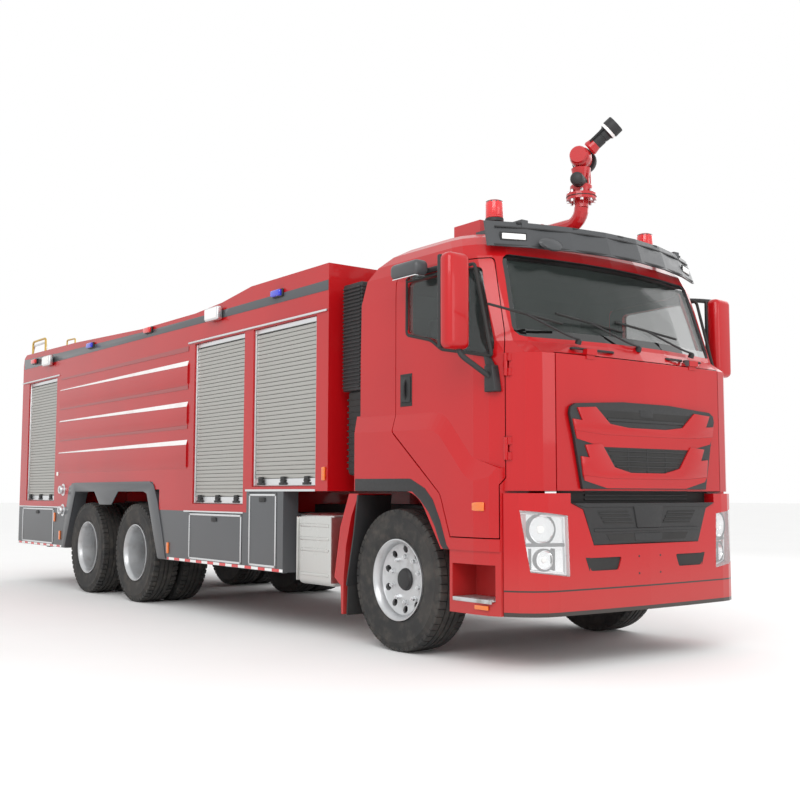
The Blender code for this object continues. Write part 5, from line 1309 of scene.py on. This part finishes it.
rise = radians(40)
AIM = Vector((0.5 * cos(rise), -0.8660254 * cos(rise), sin(rise)))
nozzle = Shape()
for end in (-1, 1):
    low, high = sorted((end * 0.066, end * 0.098))
    nozzle.add(
        monitor_red,
        turned(
            [(0, low), (0.062, low), (0.070, (low + high) / 2), (0.062, high), (0, high)], PIVOT, ACROSS, 32
        ),
    )
disc = [(0, 0.096), (0.088, 0.096), (0.095, 0.104), (0.095, 0.134), (0.082, 0.144), (0, 0.146)]
nozzle.add(black_trim, turned(disc, PIVOT, -ACROSS, 40))
neck = [(0, 0.085), (0.052, 0.085), (0.060, 0.10), (0.054, 0.13), (0.050, 0.15), (0, 0.15)]
nozzle.add(monitor_red, turned(neck, PIVOT, AIM, 32))
barrel = [
    (0, 0.14), (0.049, 0.14), (0.050, 0.21), (0.047, 0.213), (0.047, 0.223), (0.050, 0.226), (0.053, 0.258),
    (0.066, 0.272), (0, 0.272),
]
nozzle.add(black_trim, turned(barrel, PIVOT, AIM, 40))
nozzle.add(
    white_and_sky_glint_paint,
    turned(
        [(0, 0.272), (0.0685, 0.272), (0.0695, 0.276), (0.0695, 0.290), (0.0685, 0.294), (0, 0.294)],
        PIVOT,
        AIM,
        48,
    ),
)
mouth = [
    (0, 0.305), (0.030, 0.305), (0.030, 0.340), (0.034, 0.346), (0.050, 0.328), (0.060, 0.347),
    (0.066, 0.364), (0.071, 0.360), (0.072, 0.296), (0, 0.296),
]
nozzle.add(black_trim, turned(mouth, PIVOT, AIM, 48))
tooth = block((-0.004, 0.004), (-0.006, 0.006), (-0.018, 0.018), 0.002)
level = Vector((0, 0, 1)).rotation_difference(AIM).to_matrix()
bmesh.ops.rotate(tooth, matrix=level, verts=tooth.verts)
spot = PIVOT + AIM * 0.335 + level @ Vector((0.055, 0, 0))
nozzle.add(rubber, ringed(shift(tooth, *spot), 18, PIVOT, AIM))
for turn in (0.0, 2.1):
    rod_side = level @ Vector((0.062 * cos(turn + 1.2), 0.062 * sin(turn + 1.2), 0))
    nozzle.add(cast_iron, tube([PIVOT + AIM * 0.13 + rod_side, PIVOT + AIM * 0.265 + rod_side], 0.008))
nozzle.place("monitor_barrel", "monitor_nozzle", "black_plastic", ("monitor_nozzle",))

# Cab interior: a grained dash and engine cover, the steering wheel and two sprung seats trimmed in cloth.
dash_grain = Finish("dash_grain", (0.045, 0.045, 0.048), 0.6)
dash_grain.set(Base_Color=dash_grain.mix(dash_grain.cloud(5), (0.04, 0.04, 0.043), (0.065, 0.065, 0.068)))
dash_grain.relief(
    dash_grain.node("TexVoronoi", {}, {"Vector": dash_grain.place, "Scale": 420.0}), 0.0006, 0.6
)
dress(dash_grain, "dashboard", "steering_wheel")
seat_cloth = Finish("seat_cloth", (0.05, 0.055, 0.07), 0.92, Sheen_Weight=0.3)
x_line, y_line, z_line = seat_cloth.axes()
weave = ((x_line * 1400).wave() * ((y_line + z_line) * 1400).wave() + 1) * 0.5
seat_cloth.set(
    Base_Color=seat_cloth.mix(
        weave * 0.5 + seat_cloth.cloud(7) * 0.5, (0.038, 0.042, 0.055), (0.085, 0.09, 0.105)
    ),
)
seat_cloth.relief(weave, 0.0008, 0.6)


PAD_GRAIN = 0.012
PAD_SWELL = 0.012


def stuffed(name, part):
    """A pad that swells out of its cut shape, as foam does under a tight cover."""
    pad = Shape().add(seat_cloth, part).place(name, "truck", "seat_fabric", crease=180)
    grain = pad.modifiers.new("remesh", "REMESH")
    grain.mode, grain.voxel_size = "VOXEL", PAD_GRAIN
    bpy.context.view_layer.update()
    cut = bpy.data.meshes.new_from_object(pad.evaluated_get(bpy.context.evaluated_depsgraph_get()))
    pad.modifiers.clear()
    pad.data = cut
    rest = [vertex.co.copy() for vertex in cut.vertices]
    swell = pad.modifiers.new("swell", "CLOTH")
    swell.settings.use_pressure, swell.settings.uniform_pressure_force = True, 4.0
    swell.settings.effector_weights.gravity = 0.0
    for number in range(1, 21):
        bpy.context.scene.frame_set(number)
    cut = bpy.data.meshes.new_from_object(pad.evaluated_get(bpy.context.evaluated_depsgraph_get()))
    pad.modifiers.clear()
    bpy.context.scene.frame_set(1)
    for vertex, start in zip(cut.vertices, rest):
        move = vertex.co - start
        vertex.co = start + move * min(1.0, PAD_SWELL / max(move.length, 1e-6))
    pad.data = cut
    pad.data.shade_smooth()
    finer = pad.modifiers.new("finer", "SUBSURF")
    finer.levels = finer.render_levels = 1
    return pad


for side, label, node in ((1, "driver", "seat_driver"), (-1, "passenger", "seat_passenger")):
    x = 0.58 * side
    base = Shape()
    base.add(black_trim, block((x - 0.20, x + 0.20), (-0.38, 0.02), (1.285, 1.54), 0.02, 3))
    base.add(rubber, copied(block((x - 0.21, x + 0.21), (-0.385, 0.025), (1.33, 1.35), 0.006), 5, 0, 0, 0.04))
    base.place(f"seat_base_{label}", "truck", "black_plastic", (node,))
    stuffed(
        f"seat_cushion_{label}", block((x - 0.235, x + 0.235), (-0.485, 0.03), (1.565, 1.685), 0.04, 4)
    )
    back = plate(
        "x",
        [(-0.04, 1.72), (0.05, 1.60), (0.215, 2.31), (0.19, 2.355), (0.11, 2.36), (0.08, 2.33)],
        x - 0.235,
        x + 0.235,
        0.03,
        3,
    )
    stuffed(f"seat_back_{label}", back)
    stuffed(f"head_rest_{label}", block((x - 0.13, x + 0.13), (0.14, 0.222), (2.375, 2.545), 0.03, 4))

# Chassis: rails, springs, axles and engine in black chassis paint, dusty on top and lightly rusted.
frame_black = Finish("chassis_paint", (0.020, 0.020, 0.021), 0.55)
dirt = frame_black.cloud(6, 4).ramp(0.45, 0.75) * 0.4
frame_black.set(
    Base_Color=frame_black.mix(dirt, (0.018, 0.018, 0.019), (0.10, 0.085, 0.07)), Roughness=dirt * 0.5 + 0.5
)
frame_black.relief(frame_black.cloud(160, 3), 0.0008, 0.3)
dress(frame_black, "chassis_frame", "rear_bogie", "front_axle", "track_rod")
dress(cast_iron, "engine_block", "knuckle_right", "knuckle_left")
